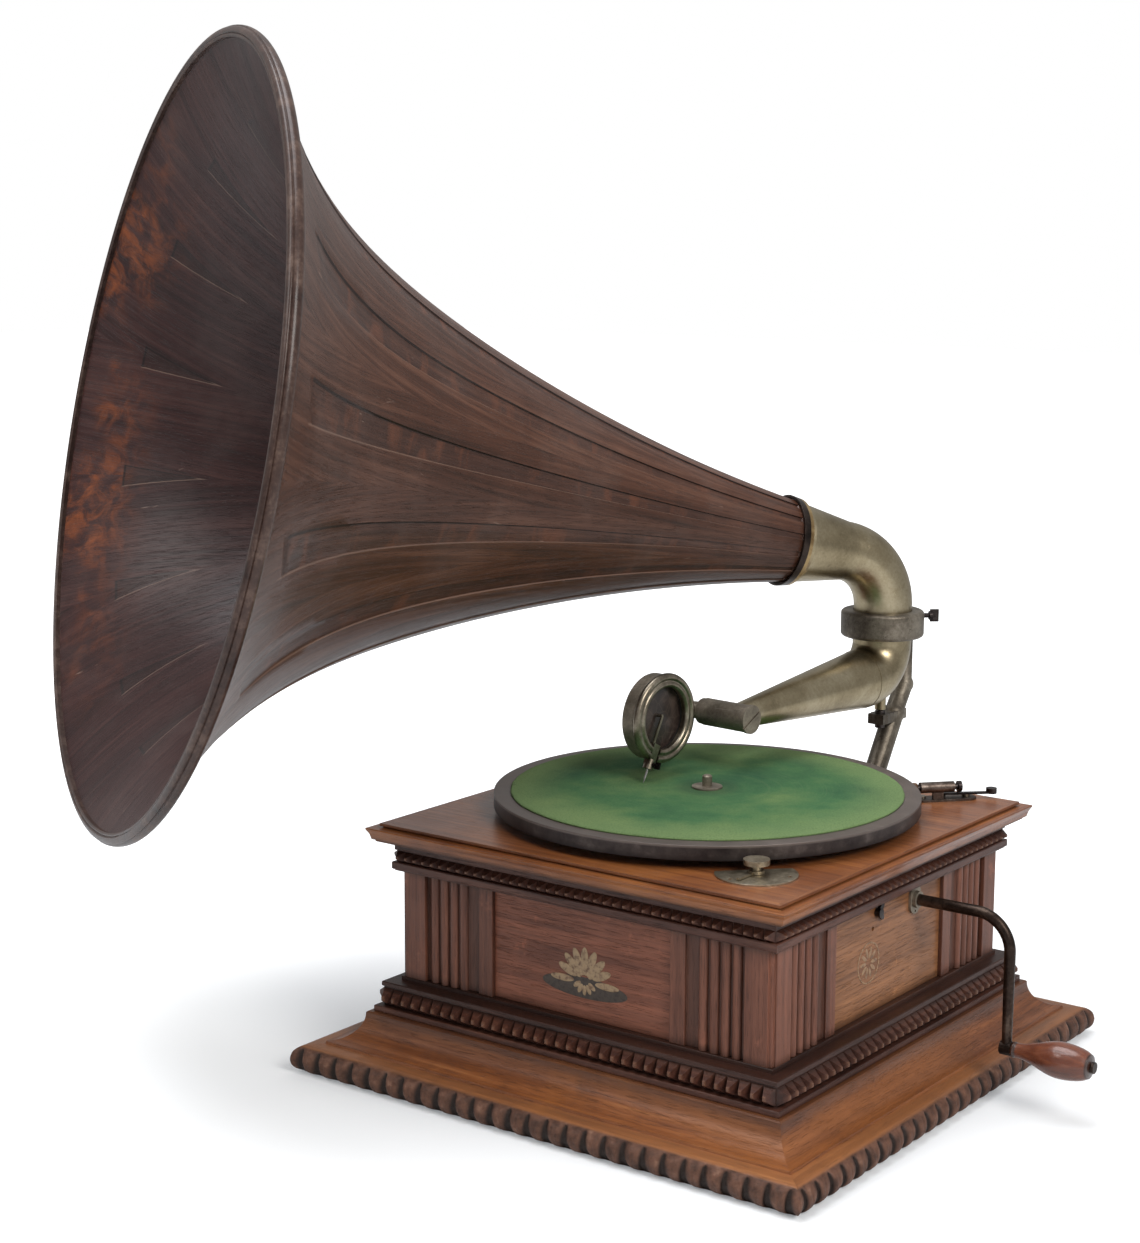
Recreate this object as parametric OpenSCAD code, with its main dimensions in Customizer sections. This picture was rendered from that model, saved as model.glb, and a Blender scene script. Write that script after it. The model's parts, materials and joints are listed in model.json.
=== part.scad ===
// Table-top wind-up phonograph: wooden case, sprung motor, turntable, tone arm and wooden horn.
// Origin at the centre of the case's underside, +Z up, front of the case towards -Y, crank on +X.

/* [Case] */
// Width and depth of the square case over its corner posts
case_w = 309.6; // [285:0.2:372]
// Height of the panels and posts between the mouldings
case_h = 77.6; // [70:0.2:110]
// Width of each face of a corner post
post_w = 80.8; // [66:0.2:92]
// Thickness of the solid wood of a corner post
post_t = 14; // [11:0.5:18]
// Depth of a post's sunk bands below its flat strips
post_sink = 4; // [2:0.1:5]
// Diameter of one reed on a corner post
reed_d = 7.2; // [4:0.1:8]
// Thickness of a panel
panel_t = 9; // [6:0.5:11]
// Depth of a panel's face behind the post strips
panel_recess = 5; // [3:0.1:5.5]

/* [Mouldings] */
// Height of the cove base
base_h = 42.8; // [36:0.2:60]
// How far the cove base stands out beyond the posts
base_out = 56.5; // [40:0.5:70]
// Height of the carved edge of the cove base
base_edge_h = 20; // [12:0.5:24]
// Radius of the hollow in the cove base
cove_r = 20; // [10:0.5:21]
// Depth of the mitred base lengths from their outer edge
base_depth = 82; // [64:0.5:95]
// Thickness of the bottom board
bottom_t = 9; // [6:0.5:12]
// Height of the waist moulding
waist_h = 24.8; // [20:0.2:32]
// How far the waist moulding stands out beyond the posts
waist_out = 16.5; // [12:0.5:20]
// Height of the cornice moulding
cornice_h = 20.8; // [18:0.2:28]
// How far the cornice stands out beyond the posts
cornice_out = 7.5; // [5:0.5:12]
// Thickness of the top board
board_t = 13.5; // [11:0.5:20]
// How far the top board stands out beyond the posts
board_out = 17.6; // [12:0.2:24]

/* [Turntable] */
// Diameter of the turntable
platter_d = 304.8; // [254:0.2:310]
// Gap between the top board and the turntable
platter_gap = 6; // [5:0.5:9]
// Height of the turntable's rim
platter_h = 10.5; // [9:0.5:14]
// Thickness of the turntable's disc
platter_t = 2.5; // [2:0.1:4]
// Width of the bare rim outside the felt
felt_margin = 10.8; // [5:0.2:20]
// Thickness of the felt
felt_t = 1.7; // [1:0.1:3]
// Diameter of the record pin
pin_d = 7.1; // [6.8:0.1:7.3]
// Height of the record pin above its seat washer
pin_h = 8; // [6:0.5:12]
// Diameter of the turntable spindle below the turntable
spindle_d = 9; // [7:0.5:11]

/* [Tone arm] */
// Distance from the case's back to the axis of the tone arm
bracket_reach = 94.2; // [86:0.2:110]
// Height of the arm's thick end above the felt
arm_lift = 44.5; // [40:0.5:56]
// Distance from the tone arm's axis to its cross barrel
arm_len = 186; // [170:1:210]
// Outside diameter of the tone arm's upright end
arm_d = 46.4; // [40:0.2:50]
// Outside diameter of the tone arm at the cross barrel
arm_tip_d = 18; // [15:0.2:19]
// Radius of the tone arm's bend on its centre line
arm_bend_r = 27; // [26:0.5:32]
// How far the tone arm falls below level towards its thin end, in degrees
arm_fall = 2.2; // [0:0.1:4]
// Direction that the tone arm points at rest, in degrees
arm_dir = 264.5; // [255:0.5:272]
// Width of the soldered band between the arm's bend and its taper
band_w = 6; // [4:0.5:12]
// Wall of the tone arm and the elbow
tube_wall = 1.8; // [1.2:0.1:2.4]
// Outside diameter of the collar
collar_d = 66; // [62:0.5:76]
// Height of the collar
collar_h = 21; // [18:0.5:28]

/* [Sound box] */
// Diameter of the sound box
box_d = 66; // [58:0.5:70]
// Thickness of the sound box's shell
box_t = 10; // [9:0.5:13]
// Distance from the cross barrel to the sound box's centre
crook_len = 61; // [56:0.5:72]
// Angle of the crook above level, in degrees
crook_rise = 5.5; // [3:0.5:9]
// Slope of the needle below level, in degrees
needle_slope = 63; // [56:0.5:68]
// Diameter of the cross barrel
barrel_d = 20.5; // [19.5:0.5:24]
// Diameter of the crook's tube
crook_d = 13; // [11:0.5:14]

/* [Horn] */
// Direction that the horn points at rest, in degrees
horn_dir = 240; // [225:1:275]
// Rise of the horn above level, in degrees
horn_rise = 11.2; // [8:0.2:16]
// Length of the wooden horn along its axis
horn_len = 497.2; // [420:0.2:560]
// Radius of the horn's mouth
mouth_r = 274.8; // [230:0.2:300]
// Radius of the horn's narrow end
throat_r = 31.7; // [30:0.1:36]
// Thickness of the horn's wood
horn_wall = 5; // [4:0.2:6]
// Diameter of the rolled bead around the horn's mouth
bead_d = 11; // [9:0.5:14]
// Radius of the elbow's bend on its centre line
elbow_bend_r = 46; // [40:0.5:56]
// Length of the elbow's widening part
elbow_cone = 46.5; // [36:0.5:60]

/* [Crank] */
// Distance of the crank's shaft from the case's middle, towards the back
crank_y = 35; // [30:0.5:40]
// Length of the crank's throw
crank_throw = 92; // [70:0.5:94]
// Diameter of the crank rod
crank_d = 8; // [7:0.2:9]
// How far the crank's elbow stands outside the case
crank_out = 50; // [44:0.5:66]
// Length of the wooden grip
grip_len = 58; // [48:0.5:76]
// Largest diameter of the wooden grip
grip_d = 25; // [20:0.5:28]

/* [Motor] */
// Width of the motor's plates along X
plate_w = 152; // [150:0.5:160]
// Depth of the motor's plates along Y
plate_dep = 138; // [136:0.5:144]
// Thickness of the motor's plates
plate_t = 3; // [2:0.5:4]
// Distance between the motor's plates
plate_space = 112; // [110:0.5:114]
// Outside diameter of the spring barrel
drum_d = 70; // [64:0.5:72]
// Height of the spring barrel
drum_h = 44; // [38:0.5:45]
// Radial clearance of shafts in their bearings
run_c = 0.1; // [0.05:0.01:0.1]
// Clearance between parts that pass or swivel close by
gap = 0.3; // [0.25:0.01:0.4]

/* [Hidden] */
$fn = 64;

hw = case_w / 2;
z_waist = base_h;
z_case = z_waist + waist_h;
z_cornice = z_case + case_h;
z_board = z_cornice + cornice_h;
z_top = z_board + board_t;
panel_face = hw - panel_recess;
post_in = hw - post_w;
z_plat = z_top + platter_gap;
z_plat_top = z_plat + platter_h;
z_felt = z_plat_top + felt_t;
plat_r = platter_d / 2;
felt_r = plat_r - felt_margin;

// Tone arm and collar levels, built up from the felt.
axis_y = hw + bracket_reach;
z_bend = z_felt + arm_lift + arm_bend_r;
z_collar = z_bend + 4;
z_web = z_collar + collar_h / 2 - 1;
web_t = 2.5;
arm_r = arm_d / 2;
bend_end_x = arm_bend_r * (1 - cos(90 - arm_fall));
bend_end_z = z_bend - arm_bend_r * sin(90 - arm_fall);
taper_len = (arm_len - bend_end_x) / cos(arm_fall);
z_barrel = bend_end_z - taper_len * sin(arm_fall);

// Cross barrel, crook and sound box, along the barrel's own axis.
cap_y = arm_tip_d / 2 + 3;
cap_t = 3;
barrel_back = -28;
crook_r = 11;
box_back = barrel_back - 3;
box_front = box_back + box_t;
ring_t = 6;
box_r = box_d / 2;
box_x = crook_len * cos(crook_rise);
box_z = z_barrel + crook_len * sin(crook_rise);
tip_r = (box_z - z_felt - 0.1) / sin(needle_slope);
chuck_y = box_front + ring_t / 2;

// Horn and elbow.
z_elbow = z_collar + collar_h + 4;
elbow_turn = 90 - horn_rise;
elbow_x = elbow_bend_r * (1 - cos(elbow_turn));
elbow_z = z_elbow + elbow_bend_r * sin(elbow_turn);
spigot_len = 20;
// Step where one tube section laps the next, so that each joint reads as a seam.
seam = 0.15;

// Speed regulator and brake, set just outside the turntable's rim.
dial_dir = -45;
knob_d = 17.5;
dial_reach = plat_r + knob_d / 2 + 3;
dial_r = 27.4;
brake_dir = 48;
brake_x0 = plat_r + 4;

// Motor layout: drum, middle arbor, spindle and governor stand upright side by side.
z_mtop = z_board - 3 - plate_t;
z_mbot = z_mtop - plate_space - plate_t;
plate_x = 24;
plate_y = 15;
pillar_in = 6;
drum_n = 80;  drum_m = 1;
mid_pin_n = 12;
mid_n = 60;   mid_m = 0.8;
spin_n = 15;
gov_drive_n = 60;
gov_n = 12;
crown_n = 36; crank_n = 12; crank_m = 1.5;
drum_x = 50;
drum_y = crank_y;
crown_r = crown_n * crank_m / 2;
crank_pr = crank_n * crank_m / 2;
d_sd = norm([drum_x, drum_y]);
d_sm = (mid_n + spin_n) * mid_m / 2;
d_dm = (drum_n + mid_pin_n) * drum_m / 2;
mid_dir = atan2(drum_y, drum_x) - acos((d_sm ^ 2 + d_sd ^ 2 - d_dm ^ 2) / (2 * d_sm * d_sd));
mid_x = d_sm * cos(mid_dir);
mid_y = d_sm * sin(mid_dir);
gov_dir = 200;
d_gov = (gov_drive_n + gov_n) * mid_m / 2;
gov_x = d_gov * cos(gov_dir);
gov_y = d_gov * sin(gov_dir);
z_mid_gear = z_mbot + plate_t + 5;
mid_gear_t = 4;
z_drum_gear = z_mid_gear + mid_gear_t + 4;
drum_gear_t = 5;
z_drum_top = z_drum_gear + drum_h;
z_crank = z_mtop - 26;
z_crown = z_crank - crank_pr - 4.2;
crown_t = 4;
z_gov_gear = z_mbot + 54;
z_disc = z_mtop - 20;
disc_r = 14;
arbor_d = 10;

// A toothed wheel's outline with straight-sided teeth, one tooth centred on +X.
module wheel(n, m) {
    pitch = 360 / n;
    rr = (n / 2 - 1.1) * m;
    rt = (n / 2 + 0.8) * m;
    polygon([for (i = [0:n - 1]) for (k = [0:3])
        let (a = pitch * (i + [-0.27, -0.12, 0.12, 0.27][k]), r = [rr, rt, rt, rr][k])
        [r * cos(a), r * sin(a)]]);
}

// Four mitred lengths of one moulding: the profile's x is the distance from the case's middle.
module mitred(reach) {
    for (q = [0:3]) rotate([0, 0, 90 * q]) intersection() {
        rotate([90, 0, 0]) linear_extrude(2 * reach, center = true) children();
        linear_extrude(400, center = true) polygon([[0, 0], [reach, -reach], [reach, reach]]);
    }
}

// Corner post outline in plan for the corner towards +X and -Y.
module post_face() {
    sunk = hw - post_sink;
    reed_x = hw - 24;
    translate([post_in, sunk - (post_t - post_sink)]) square([post_w, post_t - post_sink]);
    translate([post_in, 0]) translate([0, sunk - 1]) square([12, post_sink - 1]);
    translate([hw - 22, hw - post_t]) square([11, post_t]);
    translate([hw - 11, hw - post_t]) square([9.5, post_t - 1.5]);
    for (i = [0:3]) translate([reed_x - 5 - i * (post_w - 46) / 4, sunk - 0.4])
        circle(d = min(reed_d, 2 * post_sink - 0.2));
}
module post() {
    mirror([0, 1, 0]) linear_extrude(case_h) {
        post_face();
        mirror([1, -1, 0]) post_face();
    }
}

module base_moulding() {
    e = base_edge_h;
    o = hw + base_out;
    in_x = o - base_depth;
    color("saddlebrown") mitred(o + 5) difference() {
        union() {
            translate([in_x, 0]) square([base_depth - 4, e]);
            translate([in_x, 0]) square([hw + 18 - in_x, base_h]);
            translate([o - e / 2, e / 2]) circle(d = e);
            translate([in_x, e - 1]) square([hw + 18 + cove_r - in_x, base_h - e + 1]);
        }
        translate([hw + 18 + cove_r, e + 2 + cove_r]) circle(r = cove_r);
        translate([hw + 18 + cove_r, e + 2]) square([cove_r, base_h]);
        translate([hw + 18, e + 2 + cove_r]) square([2 * cove_r, base_h]);
    }
}
module bottom_board() {
    b = hw + base_out - base_depth;
    color("peru") translate([-b, -b, 0]) cube([2 * b, 2 * b, bottom_t]);
}
module waist_moulding() {
    w = waist_out;
    color("#3a2418") translate([0, 0, z_waist]) mitred(hw + w + 5) difference() {
        union() {
            translate([hw - post_t, 0]) square([post_t + 10, waist_h - 3]);
            translate([hw - post_t, 0]) square([post_t, waist_h]);
            translate([hw, 0]) square([w - 2.5, 14]);
            translate([hw + w - 6.5, 11]) circle(r = 6.5);
        }
        translate([hw + w, -1]) square([10, 4]);
    }
}
module panel(len) {
    color("sienna") translate([-len / 2, -panel_face, z_case]) cube([len, panel_t, case_h]);
}
module front_panel() { panel(2 * post_in); }
module rear_panel() {
    difference() {
        rotate([0, 0, 180]) panel(2 * post_in);
        for (p = foot_screws) translate([p[0], 0, p[1]]) rotate([-90, 0, 0]) cylinder(h = hw + 20, d = 4.4);
    }
}
module left_panel() { rotate([0, 0, -90]) panel(2 * post_in); }
module right_panel() {
    difference() {
        rotate([0, 0, 90]) panel(2 * post_in);
        translate([0, crank_y, z_crank]) rotate([0, 90, 0]) cylinder(h = hw + 20, d = 12.2);
        translate([0, catch_y - 4, z_crank - 8]) rotate([0, 90, 0]) cylinder(h = hw + 20, d = 3);
        translate([0, catch_y, z_crank + 3]) rotate([0, 90, 0]) cylinder(h = hw + 20, d = 3.4);
    }
}
module corner_posts() {
    color("#6b3f22") translate([0, 0, z_case])
        for (q = [0:3]) rotate([0, 0, 90 * q]) post();
}
module cornice_moulding() {
    o = cornice_out;
    color("#3a2418") translate([0, 0, z_cornice]) mitred(hw + o + 5) union() {
        translate([hw - post_t, 0]) square([post_t + 3, cornice_h]);
        translate([hw, 1]) square([o - 3, 5.6]);
        translate([hw + o - 4, 10]) circle(r = 4);
        translate([hw, 13]) square([o - 4.5, cornice_h - 15]);
    }
}
module top_board() {
    o = hw + board_out;
    color("#a8622f") difference() {
        translate([0, 0, z_board]) union() {
            mitred(o + 5) union() {
                square([o - 9, board_t - 1.5]);
                translate([o - 5, board_t - 8]) circle(r = 5);
                translate([0, board_t - 8]) square([o - 5, 5]);
            }
            translate([-o + 7.3, -o + 7.3, board_t - 2]) cube([2 * o - 14.6, 2 * o - 14.6, 2]);
        }
        translate([0, 0, z_board - 1]) cylinder(h = board_t + 2, d = 40);
        rotate([0, 0, dial_dir]) translate([dial_reach, 0, z_board - 1]) cylinder(h = board_t + 2, d = 8);
        at_brake() for (x = [8, 42]) translate([x, 6, -9]) cylinder(h = 10, d = 3.1);
    }
}

// Oval nickel plate around the crank's hole, with its bearing tube.
module crank_escutcheon() {
    color("silver") translate([panel_face, crank_y, z_crank]) rotate([0, 90, 0]) difference() {
        union() {
            hull() for (s = [-1, 1]) translate([3.5 * s, 0, 0]) cylinder(h = 2, d = 14);
            cylinder(h = 5, d = 12);
            translate([0, 0, -panel_t]) cylinder(h = panel_t + 1, d = 12);
        }
        translate([0, 0, -panel_t - 1]) cylinder(h = panel_t + 12, r = crank_d / 2 + run_c);
        for (s = [-1, 1]) translate([8.6 * s, 0, -1]) cylinder(h = 4, d = 1.6);
    }
}

catch_y = -17;
// Small wing-shaped turn-catch on the crank side.
module side_catch() {
    color("#8a8270") translate([panel_face, catch_y, z_crank + 3]) rotate([0, 90, 0]) {
        translate([0, 0, -7]) cylinder(h = 8, d = 3);
        translate([0, 0, 0.3]) cylinder(h = 4, d = 6);
        translate([0, 0, 1]) hull() {
            cylinder(h = 2, d = 5);
            translate([-4.2, 4.2, 0]) cylinder(h = 2, d = 3.6);
        }
        translate([0, 0, 1]) hull() {
            cylinder(h = 2, d = 5);
            translate([4.2, 4.2, 0]) cylinder(h = 2, d = 3.6);
        }
    }
}

module at_dial() { rotate([0, 0, dial_dir]) translate([dial_reach, 0, 0]) children(); }
module speed_dial() {
    color("silver") at_dial() difference() {
        translate([0, 0, z_top]) intersection() {
            cylinder(h = 1.2, r = dial_r);
            translate([-9, -dial_r, 0]) cube([2 * dial_r, 2 * dial_r, 3]);
        }
        translate([0, 0, z_top - 1]) cylinder(h = 4, d = 6.6);
        for (a = [-62, 62]) rotate([0, 0, a]) translate([dial_r - 5, 0, z_top - 1]) cylinder(h = 3, d = 3);
    }
}
lever_x = 45;
lever_y = gov_y - disc_r - 7;
dial_x = dial_reach * cos(dial_dir);
dial_y = dial_reach * sin(dial_dir);
link_dir = atan2(lever_y - dial_y, lever_x - dial_x);
link_len = norm([dial_x - lever_x, dial_y - lever_y]);
link_arm = 10;
z_link = z_disc + 2;
module speed_knob() {
    color("silver") translate([dial_x, dial_y, 0]) {
        translate([0, 0, z_top + 1.5]) cylinder(h = 2, d = 11);
        translate([0, 0, z_top + 3]) cylinder(h = 5, d = 6);
        translate([0, 0, z_top + 7.4]) cylinder(h = 3.4, d = knob_d);
        translate([0, 0, z_link]) cylinder(h = z_top - z_link + 2, d = 6);
        translate([-1.2, -22, z_top + 1.5]) cube([2.4, 20, 1.4]);
        rotate([0, 0, link_dir]) {
            translate([0, -3, z_link]) cube([link_arm + 3, 6, 3]);
            translate([link_arm, 0, z_link - 6]) cylinder(h = 7, d = 3);
        }
    }
}
// Lever that carries the speed setting to the governor's friction disc.
module speed_lever() {
    color("#7d7a72") translate([lever_x, lever_y, 0]) difference() {
        union() {
            translate([0, 0, z_disc - 4]) cylinder(h = 10, d = 10);
            translate([gov_x - lever_x, -3, z_disc]) cube([lever_x - gov_x, 6, 2.5]);
            translate([gov_x - lever_x, 0, z_disc]) cylinder(h = 2.5, d = 6);
            rotate([0, 0, link_dir + 180]) translate([0, -4, z_link - 5])
                cube([link_len - link_arm + 8, 8, 2.5]);
        }
        translate([0, 0, z_disc - 6]) cylinder(h = 20, r = 3 + run_c);
        rotate([0, 0, link_dir + 180]) translate([link_len - link_arm - 4, -2.1, z_link - 7])
            cube([20, 4.2, 8]);
    }
}

module at_brake() { rotate([0, 0, brake_dir]) translate([brake_x0, 0, z_top]) children(); }
z_tube = 10.5;
module brake_plate() {
    color("#8c877b") at_brake() difference() {
        union() {
            hull() for (x = [8, 42]) translate([x, 4, 0]) cylinder(h = 1.6, d = 14);
            translate([22, 6, 0]) cylinder(h = 3, d = 8);
        }
        translate([8, 6, -1]) cylinder(h = 5, d = 3.4);
        translate([42, 6, -1]) cylinder(h = 5, d = 3.4);
        translate([22, 6, -1]) cylinder(h = 6, r = 2 + run_c);
    }
}
module brake_housing() {
    color("#3c3835") at_brake() difference() {
        union() {
            translate([4, 0, z_tube]) rotate([0, 90, 0]) cylinder(h = 26, d = 8);
            translate([14, -1.5, 1.6]) cube([8, 3, z_tube - 4]);
        }
        translate([3, 0, z_tube]) rotate([0, 90, 0]) cylinder(h = 30, r = 2.2 + run_c);
    }
}
module brake_plunger() {
    color("#55504a") at_brake() {
        translate([1.6, 0, z_tube]) rotate([0, 90, 0]) cylinder(h = 33.4, r = 2.2);
        translate([32.8, 0, z_tube]) rotate([0, 90, 0]) cylinder(h = 3, d = 8);
        translate([32.8, -1, 5.4]) cube([2, 2, z_tube - 6]);
    }
}
module brake_pad() {
    color("#5a3b26") at_brake() translate([-1.6, -2.5, z_tube - 3.5]) cube([3.2, 5, 7]);
}
module brake_lever() {
    color("#4a453f") at_brake() translate([22, 6, 0]) {
        cylinder(h = 4, r = 2);
        translate([0, 0, 3.2]) cylinder(h = 1.8, d = 8);
        rotate([0, 0, -5]) translate([3, -2, 3.3]) cube([35, 4, 1.4]);
        rotate([0, 0, -5]) translate([39, 1, 3.2]) cylinder(h = 4, d = 8);
    }
}
module brake_screws() {
    color("silver") at_brake() for (x = [8, 42]) translate([x, 6, 0]) {
        translate([0, 0, -8]) cylinder(h = 10, d = 3);
        translate([0, 0, 1.6]) difference() {
            cylinder(h = 1.6, d = 6);
            translate([-4, -0.4, 0.8]) cube([8, 0.8, 2]);
        }
    }
}

module platter() {
    color("#6a6068") difference() {
        translate([0, 0, z_plat]) cylinder(h = platter_h, r = plat_r);
        translate([0, 0, z_plat - 1]) cylinder(h = platter_h - platter_t + 1, r = plat_r - 4);
        translate([0, 0, z_plat - 2]) cylinder(h = platter_h + 9, d = spindle_d);
    }
    color("#6a6068") difference() {
        translate([0, 0, z_plat]) cylinder(h = platter_h - platter_t, d = 26);
        translate([0, 0, z_plat - 2]) cylinder(h = platter_h + 9, d = spindle_d);
    }
}
module felt_mat() {
    color("seagreen") translate([0, 0, z_plat_top]) difference() {
        cylinder(h = felt_t, r = felt_r);
        translate([0, 0, -1]) cylinder(h = felt_t + 2, d = spindle_d);
    }
}
module spindle() {
    z0 = z_mbot + plate_t + 1;
    color("silver") {
        translate([0, 0, z_mbot + 0.5]) cylinder(h = z_plat_top - z_mbot - 1, d = spindle_d - 1);
        translate([0, 0, z_plat - 2]) cylinder(h = z_plat_top + felt_t - z_plat + 2, d = spindle_d);
        translate([0, 0, z_plat - 3]) cylinder(h = 3, d = 16);
        translate([0, 0, z_felt]) cylinder(h = 1.2, d = 22);
        translate([0, 0, z_felt]) cylinder(h = 1.2 + pin_h - 1, d = pin_d);
        translate([0, 0, z_felt + 1.2 + pin_h - 1]) cylinder(h = 1, d1 = pin_d, d2 = pin_d - 2);
        translate([0, 0, z_mid_gear - 1]) rotate([0, 0, mid_dir + 180 / spin_n])
            linear_extrude(mid_gear_t + 2) wheel(spin_n, mid_m);
        translate([0, 0, z_gov_gear]) rotate([0, 0, gov_dir]) linear_extrude(4) wheel(gov_drive_n, mid_m);
        translate([0, 0, z_gov_gear + 3]) cylinder(h = 7, d = 18);
    }
}

pillar_pts = [for (sx = [-1, 1]) for (sy = [-1, 1])
    [plate_x + sx * (plate_w / 2 - pillar_in), plate_y + sy * (plate_dep / 2 - pillar_in)]];
module motor_plate() {
    translate([plate_x - plate_w / 2, plate_y - plate_dep / 2, 0]) cube([plate_w, plate_dep, plate_t]);
}
module motor_top_plate() {
    color("#8f8a80") difference() {
        translate([0, 0, z_mtop]) motor_plate();
        translate([0, 0, z_mtop - 1]) {
            cylinder(h = plate_t + 2, d = spindle_d + 3);
            translate([drum_x, drum_y, 0]) cylinder(h = plate_t + 2, r = 3 + run_c);
            translate([gov_x, gov_y, 0]) cylinder(h = plate_t + 2, r = 1.5 + run_c);
            for (p = pillar_pts) translate([p[0], p[1], 0]) cylinder(h = plate_t + 2, d = 5);
        }
    }
}
module motor_bottom_plate() {
    color("#8f8a80") difference() {
        translate([0, 0, z_mbot]) motor_plate();
        translate([0, 0, z_mbot - 1]) {
            cylinder(h = plate_t + 2, r = spindle_d / 2 - 0.5 + run_c);
            translate([drum_x, drum_y, 0]) cylinder(h = plate_t + 2, r = 3 + run_c);
            translate([mid_x, mid_y, 0]) cylinder(h = plate_t + 2, r = 2 + run_c);
            translate([gov_x, gov_y, 0]) cylinder(h = plate_t + 2, r = 1.5 + run_c);
            for (p = pillar_pts) translate([p[0], p[1], 0]) cylinder(h = plate_t + 2, d = 5);
        }
    }
}
module motor_pillars() {
    color("#9a948a") for (p = pillar_pts) translate([p[0], p[1], 0]) {
        translate([0, 0, z_mbot + plate_t]) cylinder(h = plate_space, d = 9);
        translate([0, 0, z_mbot - 3]) cylinder(h = plate_space + 2 * plate_t + 6, d = 5);
        translate([0, 0, z_mbot - 3.5]) cylinder(h = 3.5, d = 9);
        translate([0, 0, z_mtop + plate_t]) cylinder(h = 3, d = 14);
    }
}
// Bearing bushes: the spindle's neck, the middle arbor's top, the lever's post and the crank's block.
module motor_bushes() {
    color("goldenrod") {
        translate([0, 0, z_mtop - 8]) difference() {
            cylinder(h = plate_t + 10, d = spindle_d + 3);
            translate([0, 0, -1]) cylinder(h = plate_t + 12, r = spindle_d / 2 - 0.5 + run_c);
        }
        difference() {
            translate([mid_x - 5, mid_y - 5, z_mbot + plate_t + 24]) union() {
                cube([10, 10, 4]);
                translate([0, -28, 0]) cube([10, 29, 4]);
                translate([0, -28, -24]) cube([10, 4, 25]);
            }
            translate([mid_x, mid_y, z_mbot]) cylinder(h = 60, r = 2 + run_c);
        }
        translate([lever_x, lever_y, z_disc - 4]) cylinder(h = z_mtop - z_disc + 4, d = 6);
        translate([lever_x, lever_y, z_disc - 6]) cylinder(h = 1.6, d = 9);
        difference() {
            translate([drum_x + crown_r + 9, crank_y - crank_d, z_crank - crank_d / 2 - 5])
                cube([8, 2 * crank_d, z_mtop - z_crank + crank_d / 2 + 5]);
            translate([drum_x, crank_y, z_crank]) rotate([0, 90, 0])
                cylinder(h = 80, r = crank_d / 2 + run_c);
        }
        translate([pawl_x, pawl_y, z_ratchet - 3]) cylinder(h = z_mtop - z_ratchet + 3, d = 4);
        translate([pawl_x, pawl_y, z_ratchet - 4]) cylinder(h = 1.6, d = 7);
    }
}

z_ratchet = z_crown - 6;
pawl_dir = 118;
pawl_x = drum_x + (crown_r + 8) * cos(pawl_dir);
pawl_y = drum_y + (crown_r + 8) * sin(pawl_dir);
module at_drum() { translate([drum_x, drum_y, 0]) children(); }
module spring_drum() {
    dm = atan2(mid_y - drum_y, mid_x - drum_x);
    color("#a39d92") at_drum() difference() {
        union() {
            translate([0, 0, z_drum_gear]) cylinder(h = drum_h, d = drum_d);
            translate([0, 0, z_drum_gear]) rotate([0, 0, dm])
                linear_extrude(drum_gear_t) wheel(drum_n, drum_m);
        }
        translate([0, 0, z_drum_gear + 4]) cylinder(h = drum_h, d = drum_d - 5);
        translate([0, 0, z_drum_gear - 1]) cylinder(h = drum_h, r = arbor_d / 2 + run_c);
    }
}
module drum_cover() {
    color("#8a857a") at_drum() translate([0, 0, z_drum_top]) difference() {
        cylinder(h = 2.5, d = drum_d);
        translate([0, 0, -1]) cylinder(h = 5, r = arbor_d / 2 + run_c);
    }
}
// Coiled main spring, from the arbor's hub out towards the drum's wall.
module mainspring() {
    turns = 6;
    r0 = 11;
    dr = (drum_d / 2 - 2.5 - 3 - r0) / turns;
    function sp(a, o) = (r0 + o + dr * a / 360) * [cos(a), sin(a)];
    color("#4d5560") at_drum() translate([0, 0, z_drum_gear + 5.5]) linear_extrude(drum_h - 8)
        polygon(concat([for (a = [0:15:360 * turns]) sp(a, 0)],
            [for (a = [360 * turns:-15:0]) sp(a, 0.9)]));
}
module winding_arbor() {
    color("silver") at_drum() {
        translate([0, 0, z_mbot + 0.5]) cylinder(h = plate_t + 3, d = 6);
        translate([0, 0, z_mbot + plate_t + 0.5]) cylinder(h = z_crown - z_mbot - plate_t - 0.5, d = arbor_d);
        translate([0, 0, z_crown - 1]) cylinder(h = z_mtop + plate_t - z_crown + 0.5, d = 6);
        translate([0, 0, z_drum_gear + 5.5]) cylinder(h = drum_h - 8, d = 17);
        translate([0, 0, z_ratchet]) linear_extrude(3) polygon([for (i = [0:23]) for (k = [0:1])
            let (a = 15 * (i + [0, 0.92][k]), r = [13, 16][k]) [r * cos(a), r * sin(a)]]);
    }
}
module crown_wheel() {
    pw = crank_m * PI * 0.42;
    color("goldenrod") at_drum() difference() {
        union() {
            translate([0, 0, z_crown]) difference() {
                cylinder(h = crown_t - 2, r = crown_r + 2.5);
                for (a = [0:72:288]) rotate([0, 0, a]) translate([14, 0, -1]) cylinder(h = 6, d = 9);
            }
            for (i = [0:crown_n - 1]) rotate([0, 0, (i + 0.5) * 360 / crown_n])
                translate([crown_r - 2.5, -pw / 2, z_crown + 1])
                    cube([4.8, pw, z_crank - crank_pr + 0.2 - z_crown]);
        }
        translate([0, 0, z_crown - 1]) cylinder(h = 9, d = 6);
    }
}
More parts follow.
